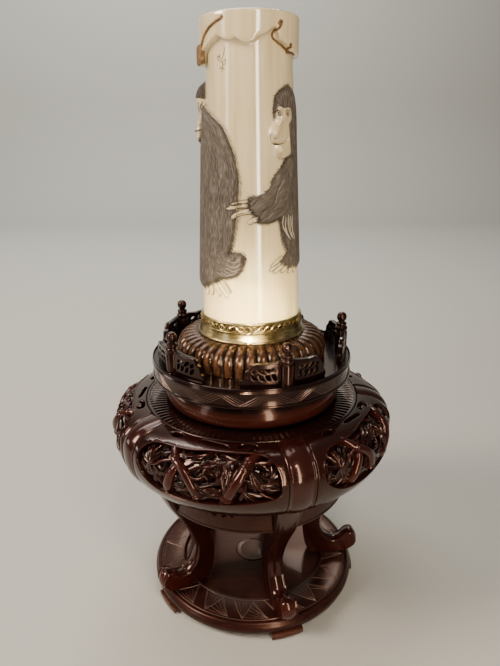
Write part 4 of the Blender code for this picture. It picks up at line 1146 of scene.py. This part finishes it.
def relief(degrees, y):
    """Heights of the figures over the ground, how far inside the fur each point is, in mm, and how much the
    skin is darkened: a brown tint on the right face, a dark left cap, and painted shadow round the fur,
    the fingers and the toes."""
    x = degrees * DEGREE
    # The left monkey's body
    left = inside(LEFT_FUR, x, y)
    lying = swell(left, 4, 5)
    forms = mound(x, y, -23, 77, 9, 12, 0.9)
    forms -= groove(x, y, [(-40, 196), (-37, 150), (-33, 105), (-30, 88)], 2.4, 0.9)
    forms -= groove(x, y, [(-58, 190), (-60, 130), (-56, 75)], 3, 0.6)
    forms -= groove(x, y, [(-32, 90), (-25, 86), (-20, 87)], 1.6, 0.9)
    rise = lying + forms * np.clip(left / 3, 0, 1)
    # The right one, whose back sinks into the ground on the far side
    right, head, face = (inside(outline, x, y) for outline in (RIGHT_FUR, RIGHT_HEAD, FACE))
    fade = 1 - 0.75 * np.clip((degrees - 55) / 40, 0, 1)
    rise = np.maximum(rise, swell(right, 4, 4.5) * fade)
    forms = mound(x, y, 44, 146, 8, 9, 0.8) * fade
    forms -= groove(x, y, [(38, 152), (30, 136), (24, 126), (8, 121)], 1.2, 1)
    forms -= groove(x, y, [(60, 160), (56, 130), (40, 118)], 2, 0.9)
    rise += forms * np.clip(right / 3, 0, 1)
    both = np.maximum(head, face)
    rise = np.where(both > 0, np.maximum(rise, swell(both, 5, 4.5) * fade), rise)
    rise += face_forms(x, y) * np.clip((face + 1.5) / 1.5, 0, 1)
    # The left head is seen from the side and has a profile of its own
    left_head, left_face = inside(LEFT_HEAD, x, y), inside(LEFT_FACE, x, y)
    stand = np.interp(y, *np.array(LEFT_PROFILE).T)
    rise = np.where(left_head > 0, np.maximum(rise, stand * swell(left_head, 1, 4.2)), rise)
    rise += 0.3 * face_forms(*moved_back(degrees, y, LEFT_PLACE)) * np.clip(left_face / 2.5, 0, 1)
    # The third one, plainer, on the back
    wrapped = np.where(degrees < 0, degrees + 360, degrees)
    back, back_head = (inside(outline, wrapped * DEGREE, y) for outline in (BACK_FUR, BACK_HEAD))
    back_place = moved_back(wrapped, y, BACK_PLACE)
    back_face = inside(FACE, *back_place) * 0.6
    rise = np.maximum(rise, swell(back, 4, 4.5))
    rise = np.where(back_head > 0, np.maximum(rise, swell(back_head, 5, 4)), rise)
    rise += 0.7 * face_forms(*back_place) * np.clip((back_face + 0.9) / 0.9, 0, 1)
    fur = np.maximum.reduce([left, right + 0.5, head + 0.6, left_head + 1, back, back_head])
    bare = np.maximum.reduce([face, left_face, back_face])
    stain = 0.22 * np.clip(face + 0.4, 0, 1)
    # Painted shade: the ground just outside the fur, and the fur's own edge, are darkened in a soft band, a
    # painted shadow along the relief's edge.
    stain = np.where(fur < 0.4, np.maximum(stain, 0.2 * np.exp(np.minimum(fur, 0) / 1.1)), stain)
    stain = np.where((left_head > 0) & (left_face < -0.5), 0.9, stain)
    for finger in FINGERS:
        on_finger = inside(finger, x, y) - 0.4
        # Painted shadow: a soft dark ring on the ground round each finger; the finger itself is only lightly
        # tinted.
        stain = np.where(on_finger > 0, 0.1, np.maximum(stain, 0.6 * np.exp(-np.abs(on_finger))))
        rise = np.where(on_finger > -0.6, lying, rise)
        rise = np.where(on_finger > 0, lying * 0.9 + swell(on_finger, 2, 1.5), rise)
        bare = np.maximum(bare, on_finger)
    for toe in RIGHT_TOES + LEFT_TOES:
        on_toe = inside(toe, x, y) - 0.2
        rise = np.maximum(rise, swell(on_toe, 1.6, 1.4))
        # Painted shadow: a soft dark ring on the ground round each toe.
        stain = np.where(on_toe > 0.3, 0.1, np.maximum(stain, 0.7 * np.exp(-np.abs(on_toe) / 0.8)))
    # Over the feet the fur thins out
    thin = (y < 68) & (degrees < -28) | (y < 76) & (degrees > 30)
    fur = np.where(thin & (np.abs(degrees) < 120), fur * 0.4, fur)
    return rise, np.minimum(fur, -bare), stain


def hair_run(degrees, y):
    """Where each point lies across and along the hair, in mm."""
    x = degrees * DEGREE
    heights = [60, 104, 133, 151, 168, 180, 194, 202, 208, 214]
    edge = np.interp(y, heights, [-18, -18, -14, -13, -17, -23, -33, -48, -62, -80])
    across = (degrees + 112) / (edge + 112) * 62
    along = y.copy()
    # Round the haunch
    turn = np.arctan2(y - 84, x + 30 * DEGREE)
    reach = np.hypot(y - 84, x + 30 * DEGREE)
    haunch = (y < 88) & (degrees > -40) & (degrees < 0)
    across, along = np.where(haunch, reach * 1.2 + 40, across), np.where(haunch, turn * 14, along)
    # Down the right arm, and down the right back
    arm = (degrees > -5) & (degrees < 44) & (y > 108)
    across = np.where(arm, x * 0.69 - y * 0.72, across)
    along = np.where(arm, x * 0.72 + y * 0.69, along)
    behind = (degrees >= 44) | ((degrees > 10) & (y <= 108))
    across = np.where(behind, x + 0.1 * y, across)
    # Out from the faces
    cap = (degrees > 20) & (degrees < 80) & (y > 198)
    across = np.where(cap, np.arctan2(y - 196, x - 42 * DEGREE) * 16, across)
    along = np.where(cap, np.hypot(y - 196, x - 42 * DEGREE), along)
    across = np.where((degrees < -78) & (y > 214), 3 * x, across)
    return across, along


levels = np.concatenate([np.linspace(*run) for run in ROW_RUNS])[:, None]
degrees = np.arange(TUSK_COLUMNS) * 360 / TUSK_COLUMNS - 180
hem = np.interp(degrees, *np.array(HEM).T)
spread = np.clip((levels - HEM_START) / (levels[-1] - HEM_START), 0, None) * (hem - 0.5 - HEM_START)
grid_y = np.minimum(levels, HEM_START) + spread
grid_a = np.repeat(degrees[None, :], len(levels), 0)
rise, fur, stain_and_painted_shade = relief(grid_a, grid_y)
# Painted shadow: the ground just under the collar's hem is darkened over about 1.5 mm.
stain_and_painted_shade = np.maximum(stain_and_painted_shade, 0.3 * np.exp(-(hem - grid_y) / 1.5))
radius = GROUND_FOOT + (GROUND_TOP - GROUND_FOOT) * np.clip(grid_y / GROUND_HEIGHT, 0, 1) + rise
across, along = hair_run(grid_a, grid_y)
# The cloth's shallow folds on the front
fold = np.minimum(0.25 * np.sin(np.radians(degrees) * 9 + 1) * (np.abs(degrees) < 90), 0)
rows = []
for share, out in COLLAR_ROWS:
    reach = COLLAR_RADIUS + out - 0.35 * (1 - share) + fold * (1 - share) * (out > -2)
    rows.append((reach, hem + (TUSK_HEIGHT - hem) * share))
rows += [(np.full(TUSK_COLUMNS, reach), np.full(TUSK_COLUMNS, height)) for reach, height in BORE_ROWS]
radius = np.vstack([radius] + [reach for reach, height in rows])
grid_y = np.vstack([grid_y] + [height for reach, height in rows])
plain = np.zeros((len(rows), TUSK_COLUMNS))
marks = {"across": (across, plain), "along": (along, plain)}
marks.update({"stain": (stain_and_painted_shade, plain), "fur": (fur, plain - 9)})


def closed_round(values):
    """Rows of values with the first of each row at its end again."""
    return np.hstack([values, values[:, :1]])


bpy.ops.object.select_all(action="DESELECT")
bpy.ops.mesh.primitive_grid_add(x_subdivisions=TUSK_COLUMNS, y_subdivisions=len(grid_y) - 1, size=1)
tusk = bpy.context.object
turns = np.radians(np.append(degrees, 180))
reach, height = closed_round(radius), closed_round(grid_y) + TUSK_FOOT
places = np.stack([reach * np.sin(turns), -reach * np.cos(turns), height], axis=-1)
tusk.data.vertices.foreach_set("co", places.astype(np.float32).ravel())
for name, values in marks.items():
    marked(tusk, name, closed_round(np.vstack(values)).ravel())
# The seam is merged, and the foot and the floor of the bore are closed
bpy.ops.object.mode_set(mode="EDIT")
bpy.ops.mesh.select_all(action="SELECT")
bpy.ops.mesh.remove_doubles(threshold=0.001)
bpy.ops.mesh.select_all(action="DESELECT")
bpy.ops.mesh.select_non_manifold()
bpy.ops.mesh.edge_face_add()
bpy.ops.object.mode_set(mode="OBJECT")
made_sound()

ivory, shader = new_material(
    "polished ivory",
    {
        "IOR": 1.54,
        "Subsurface Weight": 0.12,
        "Subsurface Scale": 2 * MM,
        "Subsurface Radius": (1.0, 0.6, 0.35),
        "Coat Roughness": 0.03,
    },
)
# Old ivory, polished: it gives the eye a warm cream with faint yellow bands 6 mm wide down its length. The
# fur is engraved in hairs 0.4 mm apart, too fine for the view and drawn 0.6 mm apart, in locks 3 mm wide.
# They take a grey-brown stain, and stay duller than the ground. The lower tusk is painted lighter and
# yellower, a painted glow of light; the fur's edges and the ground round the fur, the fingers, the toes and
# under the hem are painted darker, painted shade; the right face and the left cap are darkened brown.
place = add_node(ivory, "TexCoord", {})
down = add_node(ivory, "Mapping", {"Scale": (1, 1, 0.06)}, {"Vector": (place, "Object")})
bands = add_node(ivory, "TexNoise", {"Scale": 1 / (6 * MM), "Detail": 3.0}, {"Vector": down})
cream = add_node(
    ivory, "ValToRGB", {"stops": [(0.3, "C5AF84"), (0.5, "D0BB94"), (0.75, "D9C6A2")]}, {0: bands}
)
# Painted light: from 0.42 m down to 0.31 m in height the ivory is painted lighter and yellower, a painted
# glow of light on the lower tusk.
level = add_node(ivory, "SeparateXYZ", {}, {0: (place, "Object")})
low = add_node(
    ivory, "MapRange", {"From Min": 0.42, "From Max": 0.31, "To Max": 1.0}, {"Value": (level, "Z")}
)
cream_with_painted_low_light = add_node(ivory, "Mix", {"data_type": "RGBA", 7: "FFE49F"}, {0: low, 6: cream})
hair_across = add_node(ivory, "Attribute", {"attribute_name": "across"})
hair_along = add_node(ivory, "Attribute", {"attribute_name": "along"})
hair_place = add_node(ivory, "CombineXYZ", {}, {0: (hair_across, "Fac"), 1: (hair_along, "Fac")})
hair_map = add_node(ivory, "Mapping", {"Scale": (1, 0.09, 1)}, {"Vector": hair_place})
hairs = add_node(
    ivory, "TexNoise", {"Scale": 1 / 0.62, "Detail": 3.0, "Distortion": 0.12}, {"Vector": hair_map}
)
locks_map = add_node(ivory, "Mapping", {"Scale": (1, 0.12, 1)}, {"Vector": hair_place})
locks = add_node(ivory, "TexNoise", {"Scale": 1 / 3.0, "Detail": 2.0}, {"Vector": locks_map})
tuft = add_node(ivory, "Math", {"operation": "MULTIPLY_ADD", 1: 0.4}, {0: locks, 2: hairs})
stain = add_node(
    ivory,
    "ValToRGB",
    {"stops": [(0.42, "322B25"), (0.66, "4B433B"), (0.8, "615850"), (0.98, "7C7266")]},
    {0: tuft},
)
depth = add_node(ivory, "Attribute", {"attribute_name": "fur"})
frayed = add_node(ivory, "Math", {"operation": "MULTIPLY_ADD", 1: 2.2, 2: -1.1}, {0: hairs})
edge_in = add_node(ivory, "Math", {"operation": "ADD"}, {0: (depth, "Fac"), 1: frayed})
on_fur = add_node(ivory, "MapRange", {"From Min": -0.15, "From Max": 0.35}, {"Value": edge_in})
# Painted shade: the fur is painted darker over its last 2 mm towards its outline, where its relief turns away
# from the light.
painted_fur_edge_shade = add_node(
    ivory, "MapRange", {"From Max": 2.0, "To Min": 0.88, "To Max": 1.0}, {"Value": (depth, "Fac")}
)
# The stain attribute darkens the fur and browns the bare ground. It holds a brown tint on the right face and
# a dark left cap, and painted shade: painted shadow round the fur's edges, the fingers and the toes and under
# the hem.
stain_and_shade_attribute = add_node(ivory, "Attribute", {"attribute_name": "stain"})
cap_and_painted_edge_shade = add_node(ivory, "MapRange", {"To Min": 1.0, "To Max": 0.55}, {"Value": (stain_and_shade_attribute, "Fac")})
darker = add_node(ivory, "Math", {"operation": "MULTIPLY"}, {0: painted_fur_edge_shade, 1: cap_and_painted_edge_shade})
shaded = add_node(
    ivory, "Mix", {"data_type": "RGBA", "blend_type": "MULTIPLY", 0: 1.0}, {6: stain, 7: darker}
)
ground_with_painted_shade = add_node(ivory, "Mix", {"data_type": "RGBA", 7: "62543F"}, {0: (stain_and_shade_attribute, "Fac"), 6: (cream_with_painted_low_light, 2)})
skin = add_node(ivory, "Mix", {"data_type": "RGBA"}, {0: on_fur, 6: (ground_with_painted_shade, 2), 7: (shaded, 2)})
bare = add_node(ivory, "MapRange", {"To Min": 1.0, "To Max": 0.0}, {"Value": on_fur})
waxed = add_node(
    ivory, "MapRange", {"From Max": 0.25, "To Min": 1.0, "To Max": 0.3}, {"Value": (stain_and_shade_attribute, "Fac")}
)
gloss = add_node(ivory, "Math", {"operation": "MULTIPLY"}, {0: bare, 1: waxed})
dull = add_node(ivory, "MapRange", {"To Min": 0.14, "To Max": 0.65}, {"Value": on_fur})
matt = add_node(ivory, "MapRange", {"To Min": 0.45, "To Max": 0.12}, {"Value": on_fur})
cut = add_node(ivory, "Math", {"operation": "MULTIPLY"}, {0: hairs, 1: on_fur})
bump = add_node(ivory, "Bump", {"Strength": 0.45, "Distance": 0.3 * MM}, {"Height": cut})
links = {"Base Color": (skin, 2), "Coat Weight": gloss, "Specular IOR Level": matt}
linked(ivory, shader, {**links, "Roughness": dull, "Normal": bump})
finished(tusk, "carved_tusk", ivory, ["tusk_vase"], 180)

# Engraved lines: eyes, mouths, fingers, toes and a small winged insect are scratched into the ivory and
# filled with dark stain. Each is a thin strand that stands only a trace out of the surface.


def mottled(name, settings, size, stops, detail=2.0):
    """A material in patches of so many mm, its shader, and the patches."""
    material, shader = new_material(name, settings)
    place = add_node(material, "TexCoord", {})
    patch = add_node(
        material, "TexNoise", {"Scale": 1 / (size * MM), "Detail": detail}, {"Vector": (place, "Object")}
    )
    tint = add_node(material, "ValToRGB", {"stops": stops}, {0: patch})
    linked(material, shader, {"Base Color": tint})
    return material, shader, patch


# Brown-black stain rubbed into the cuts: it gives the eye fine matt lines, uneven in strength every 3 mm.
ink = mottled(
    "dark stain in ivory",
    {"Roughness": 0.55, "Specular IOR Level": 0.3},
    3,
    [(0.35, "150F0B"), (0.7, "3A2E25")],
)[0]


def ellipse(a, height, wide, tall):
    turns = [2 * math.pi * k / 10 for k in range(11)]
    return [(a + wide * math.cos(turn), height + tall * math.sin(turn)) for turn in turns]


# Points and width of each line of the right face, and of the left one where it is seen from the side
FACE_LINES = [
    (ellipse(33.6, 205.1, 2.7, 2.1), 0.9),
    (ellipse(33.6, 205, 1.0, 0.9), 1.4),
    (ellipse(44.8, 205.1, 3.6, 2.1), 0.9),
    (ellipse(44.6, 205, 1.1, 0.8), 1.1),
    ([(31, 206.6), (32.4, 208.2), (34.6, 208.4), (37.4, 207)], 0.4),
    ([(41.4, 207.4), (44.6, 208.4), (48.2, 207)], 0.4),
    ([(26.6, 181.1), (30, 180.6), (35, 180.3), (40, 181.6), (44, 184.6)], 0.9),
    ([(28.8, 180.3), (32, 179.9), (36, 180.3)], 1.8),
    ([(28.6, 195), (30.6, 193.9), (34, 196.4), (36.6, 199)], 0.45),
    ([(25.6, 185.4), (27.8, 184.6), (29.6, 185.2)], 0.6),
    ([(30.4, 173.4), (33, 169.8), (38, 167.6), (44, 168), (47.6, 169)], 0.6),
    ([(24.4, 189.6), (24.4, 186.6), (25.4, 183.2), (26.6, 181.4)], 0.7),
    ([(31, 201.6), (30.6, 205.6), (31.6, 209)], 0.45),
]
LEFT_LINES = [
    ([(-80.6, 217.4), (-82.2, 215), (-82.6, 211.5), (-81.4, 208)], 0.7),
    ([(-79.2, 217), (-80.3, 212.5), (-79.6, 208.4)], 0.8),
    ([(-79.4, 206.4), (-82, 205.6), (-87, 206)], 0.7),
    ([(-79.6, 193.4), (-83, 192.2), (-91, 191.4)], 1.2),
    ([(-78.6, 206), (-78.8, 199), (-79.2, 193)], 1.0),
]
KNUCKLES = [
    [(-24, 129.2), (-21, 129.6)], [(-27, 125.6), (-24, 125.4)], [(-21.8, 118), (-18.5, 119)],
    [(-14, 121), (-8, 122.6)], [(-13, 127), (-4, 127.8)], [(6, 113.4), (2, 115)],
]
# The insect, and where and how much larger it is drawn
INSECT = [
    [(-33, 246), (-31.5, 242.5), (-31, 239)], [(-33.5, 246), (-36, 249), (-34.5, 250)],
    [(-32.5, 246), (-30, 250), (-29, 254)], [(-33, 244), (-37.5, 246), (-38.5, 249), (-35, 247)],
    [(-32, 243.5), (-28, 246), (-28.5, 242.5), (-31.5, 242)], [(-31.4, 241), (-34, 239.6), (-35, 241.5)],
    [(-31.2, 240), (-28.8, 238.8)], [(-31.6, 238.8), (-33, 237)],
]
INSECT_PLACE = (-36, 245.4, -32.5, 244, 1.15, 1.1)

tusk_surface = BVHTree.FromPolygons(
    [vert.co / MM for vert in tusk.data.vertices], [polygon.vertices[:] for polygon in tusk.data.polygons]
)


def on_tusk(degrees, y, lift=0):
    """The point of the tusk's outside at an angle and a height over its foot, lifted by so many mm."""
    start = round_the_axis(90, degrees, TUSK_FOOT + y)
    hit = tusk_surface.ray_cast(start, (Vector((0, 0, TUSK_FOOT + y)) - start).normalized())[0]
    return hit + (start - hit).normalized() * lift


def stroke(points, wide, parts=5):
    """An engraved line through points, tapering to its ends."""
    line = smooth_run(points, parts)
    run = []
    for index, point in enumerate(line):
        share = min(max(index / (len(line) - 1), 0.05), 0.95)
        run.append((on_tusk(point.x, point.y), wide / 2 * (0.45 + 0.55 * math.sin(math.pi * share))))
    return run


lines = list(FACE_LINES)
for place in (LEFT_PLACE, BACK_PLACE):
    lines += [(moved(points, place), wide) for points, wide in FACE_LINES]
lines += LEFT_LINES
for digit in (*FINGERS, *RIGHT_TOES, *LEFT_TOES):
    # The smallest toes are left open where the fur covers them
    lines.append((digit + digit[:1] if len(digit) > 5 else digit, 0.75))
lines += [(points, 0.7) for points in KNUCKLES]
lines += [(moved(points, INSECT_PLACE), 0.65) for points in INSECT]
runs = [stroke(points, wide, 3 if len(points) > 4 else 5) for points, wide in lines]
finished(drawn(runs, 0), "engraved_lines", ink, [], 30)

# Frayed hairs: the same stain, thinner, in short single cuts all along the edges of the fur. They are
# scratched out from the fur and a little down, each of its own length and width. The right head has them
# above the eyes.

# Thinned stain: it gives the eye grey-brown matt hairs as dark as the fur itself, mottled every 2 mm.
thin_ink = mottled(
    "thin brown stain in ivory",
    {"Roughness": 0.6, "Specular IOR Level": 0.2},
    2,
    [(0.35, "3A312A"), (0.7, "645A50")],
)[0]
generator = np.random.default_rng(7)
runs = []
for loop in (LEFT_FUR, RIGHT_FUR, RIGHT_HEAD, BACK_FUR):
    edge = smooth_run(loop, 16, True)
    around = sum(a.x * b.y - b.x * a.y for a, b in zip(edge, edge[1:]))
    for a, b in zip(edge, edge[1:]):
        way = Vector(((b.x - a.x) * DEGREE, b.y - a.y))
        if way.length < 0.01 or (loop is RIGHT_HEAD and a.y < 205):
            continue
        out = Vector((way.y, -way.x)).normalized() * (1 if around > 0 else -1)
        lean = (out * 0.9 + Vector((generator.uniform(-0.25, 0.25), -0.55))).normalized()
        reach = generator.uniform(0.8, 3.2)
        points = [(a.x + lean.x * t / DEGREE, a.y + lean.y * t) for t in (-1.6, -0.4, reach * 0.5, reach)]
        runs.append(stroke(points, generator.uniform(0.25, 0.55)))
finished(drawn(runs, 0), "frayed_hairs", thin_ink, [], 30)

# Pale hairs: single raised hairs left in the ivory's own colour on the belly, and a few over the dark fur.
# They are ridges left standing between the stained cuts.

BELLY_SIDES = [
    [(38.5, 118), (37.4, 111), (40, 104), (45.5, 97)],
    [(52, 117.3), (50.5, 109.5), (52, 102), (56.5, 96)],
]
BELLY_HAIRS = 5
SINGLE_HAIRS = [
    [(-26, 76), (-18, 73.5), (-11, 77)],
    [(-27, 73), (-18, 70), (-11.5, 73)],
    [(-29, 70), (-21, 67), (-14, 69.5)],
    [(-33, 68), (-25, 65.8), (-18, 66.8)],
    [(-24, 80), (-18, 78), (-12, 81.5)],
    [(-36, 66.5), (-31, 65), (-25, 65)],
    [(40, 150), (33, 142), (28, 131)],
]

# Ivory left unstained between two cuts: it gives the eye thin cream lines, mottled every 4 mm.
pale_ivory = mottled(
    "bare ivory hairs", {"Roughness": 0.3, "IOR": 1.54}, 4, [(0.35, "B7A88F"), (0.7, "DDD0B8")]
)[0]
runs = []
for number in range(BELLY_HAIRS):
    share = number / (BELLY_HAIRS - 1)
    shift = generator.uniform(-0.6, 0.6)
    points = []
    for (a, b), (c, d) in zip(*BELLY_SIDES):
        points.append((a + (c - a) * share + shift, b + (d - b) * share + 3 * shift))
    runs.append(stroke(points, 0.85))
runs += [stroke(points, 0.26) for points in SINGLE_HAIRS]
finished(drawn(runs, 0), "pale_hairs", pale_ivory, [], 30)

# Cords: two silk-like cords carved lying on the collar, stained brown. The left one ends in a flat tag and
# the right one hooks over at its top and ends in a knot.

# Each cord's points and its width
CORDS = [
    ([(-29, 279), (-31.4, 277.2), (-36.7, 275.8), (-45.6, 273), (-52, 270.5), (-57, 268), (-62, 264.5),
      (-65.8, 261.5), (-69, 259.5)], 2.3),
    ([(33, 272.6), (35.4, 275.2), (36.6, 273), (34.6, 270.4), (31, 268), (29, 265.6), (30, 263),
      (33.5, 261.6), (38.5, 259.6), (44, 258.4), (50, 256.4), (56, 255), (63, 254.4), (72, 253.6)], 2.1),
    ([(51, 259.8), (54, 256.6), (55, 253)], 2.6),
    ([(35.2, 275), (37.4, 274.2)], 3),
]
TAG_FACE = 46.9
TAG_BACK = 41.5
TAG_TURN = -77.5
TAG_DEGREES = 25
TAG_MIDDLE = 254
TAG_HEIGHT = 15

# Ivory stained with tea and rubbed back: it gives the eye a warm tan, darker every 3 mm.
cord_ivory, shader, patch = mottled(
    "brown-stained ivory",
    {"Roughness": 0.5, "IOR": 1.54, "Specular IOR Level": 0.3},
    3,
    [(0.3, "382818"), (0.52, "6B4E2C"), (0.72, "936C3E")],
    3.0,
)
bump = add_node(cord_ivory, "Bump", {"Strength": 0.3, "Distance": 0.2 * MM}, {"Height": patch})
linked(cord_ivory, shader, {"Normal": bump})

runs = []
for points, wide in CORDS:
    runs.append([(on_tusk(point.x, point.y, 0.15 * wide), wide / 2) for point in smooth_run(points, 8)])
cords = drawn(runs, 2)
bpy.ops.object.select_all(action="DESELECT")
bpy.ops.mesh.primitive_cube_add(size=1)
tag = bpy.context.object
bpy.ops.object.mode_set(mode="EDIT")
bpy.ops.mesh.subdivide(number_cuts=5)
bpy.ops.object.mode_set(mode="OBJECT")
for vert in tag.data.vertices:
    soft = 0.5 * (2 * abs(vert.co.x)) ** 3 + 0.5 * (2 * abs(vert.co.y)) ** 6
    reach = TAG_FACE - soft if vert.co.z > 0 else TAG_BACK
    angle = TAG_TURN + vert.co.x * TAG_DEGREES * (1 - 0.1 * (vert.co.y + 0.5))
    vert.co = round_the_axis(reach, angle, TUSK_FOOT + TAG_MIDDLE + vert.co.y * TAG_HEIGHT)
made_sound(0.01)
bevelled(tag, 0.6, 2)
joined(cords, tag)
made_sound()
finished(cords, "collar_cords", cord_ivory, [], 50)

# The studio, in metres: a pale floor that runs up into a pale wall, and area lamps round the object. The
# light is broad and soft from the left, and tall and bright from the right front.

BEND_PARTS = 8
BEND_RADIUS = 0.8
WALL_HEIGHT = 4
FLOOR_BACK = 3
FLOOR_FRONT = -8

# Matt paper, dull and of one grey all over
settings = {"Base Color": "A5A19A", "Roughness": 0.9, "Specular IOR Level": 0.2}
paper = new_material("matt pale paper", settings)[0]
bpy.ops.object.select_all(action="DESELECT")
bpy.ops.mesh.primitive_plane_add(size=1)
bpy.context.object.scale = (16, 2 * FLOOR_BACK, 1)
floor = applied()
for edge in floor.data.edges:
    edge.select = all(floor.data.vertices[end].co.y > 0 for end in edge.vertices)
for vert in floor.data.vertices:
    vert.select = vert.co.y > 0
for polygon in floor.data.polygons:
    polygon.select = False
bpy.ops.object.mode_set(mode="EDIT")
bend = [math.pi / 2 * part / BEND_PARTS for part in range(BEND_PARTS + 1)]
for a, b in zip(bend, bend[1:]):
    step = (0, BEND_RADIUS * (math.sin(b) - math.sin(a)), BEND_RADIUS * (math.cos(a) - math.cos(b)))
    bpy.ops.mesh.extrude_region_move(TRANSFORM_OT_translate={"value": step})
bpy.ops.mesh.extrude_region_move(TRANSFORM_OT_translate={"value": (0, 0, WALL_HEIGHT)})
bpy.ops.object.mode_set(mode="OBJECT")
bpy.ops.object.shade_smooth()
for vert in floor.data.vertices:
    if vert.co.y < 0:
        vert.co.y = FLOOR_FRONT
floor.name = "studio_floor"
floor.data.materials.append(paper)


def lamp(name, place, target, wide, tall, power, colour, spread=180):
    light = bpy.data.lights.new(name, "AREA")
    light.spread = math.radians(spread)
    light.shape = "RECTANGLE"
    light.size, light.size_y = wide, tall
    light.energy = power
    light.color = linear(colour)[:3]
    stand = placed(name, light)
    stand.location = place
    stand.rotation_euler = (Vector(target) - Vector(place)).to_track_quat("-Z", "Y").to_euler()


# The broad lamp on the left, and the tall one that draws the tusk's bright line
lamp("key", (-1.3, -0.42, 1.3), (0, 0, 0.3), 0.5, 0.7, 40, "FFF2E0")
lamp("strip", (0.184, -0.519, 0.53), (0, 0, 0.53), 0.07, 0.9, 4.6, "FFF1D8")
# Small ones for the lines of light on the left, on the gallery, on the cushion and on the ring
lamp("left strip", (-0.494, -0.32, 0.5), (0, 0, 0.45), 0.08, 0.8, 0.75, "FFFFFF")
lamp("left window", (-1.25, 0.2, 0.34), (0, 0, 0.25), 0.3, 0.14, 0.9, "FFF6EC")
lamp("front overhead", (0.2, -0.9, 1.5), (0, 0, 0.1), 0.16, 0.16, 5, "FFF4E6")
lamp("back overhead", (0.15, 1.2, 1.2), (0, 0, 0.1), 0.22, 0.22, 3, "FFF4E6")
lamp("low front", (-0.06, -0.62, 0.44), (0, -0.05, 0.325), 0.05, 0.05, 0.12, "FFEFD2", 13)
# The room's light, and the wall's
lamp("fill", (1.4, -0.6, 0.9), (0, 0, 0.25), 0.8, 0.8, 0.35, "FFD49A")
lamp("overhead", (-0.3, 0.5, 1.6), (0, 0, 0.2), 0.9, 0.9, 12, "FFFFFF")
lamp("wall wash", (-0.8, 1.4, 2.6), (-0.8, 3.9, 0.6), 3.0, 1.0, 185, "F4F6F2")
world = bpy.context.scene.world or bpy.data.worlds.new("studio")
bpy.context.scene.world = world
world.use_nodes = True
set_socket(world.node_tree.nodes["Background"], "Color", "D8D6D2")
set_socket(world.node_tree.nodes["Background"], "Strength", 0.2)

view = bpy.data.cameras.new("front")
view.lens = 29.5
view.sensor_width = 36
view.sensor_fit = "AUTO"
view.clip_start = 0.01
camera = placed("front", view)
camera.location = (-0.0013, -0.540, 0.4784)
tilt = Matrix.Rotation(math.radians(90 - 18.97), 4, "X")
roll = Matrix.Rotation(math.radians(-0.483), 4, "Z")
camera.rotation_euler = (tilt @ roll).to_euler()
bpy.context.scene.camera = camera
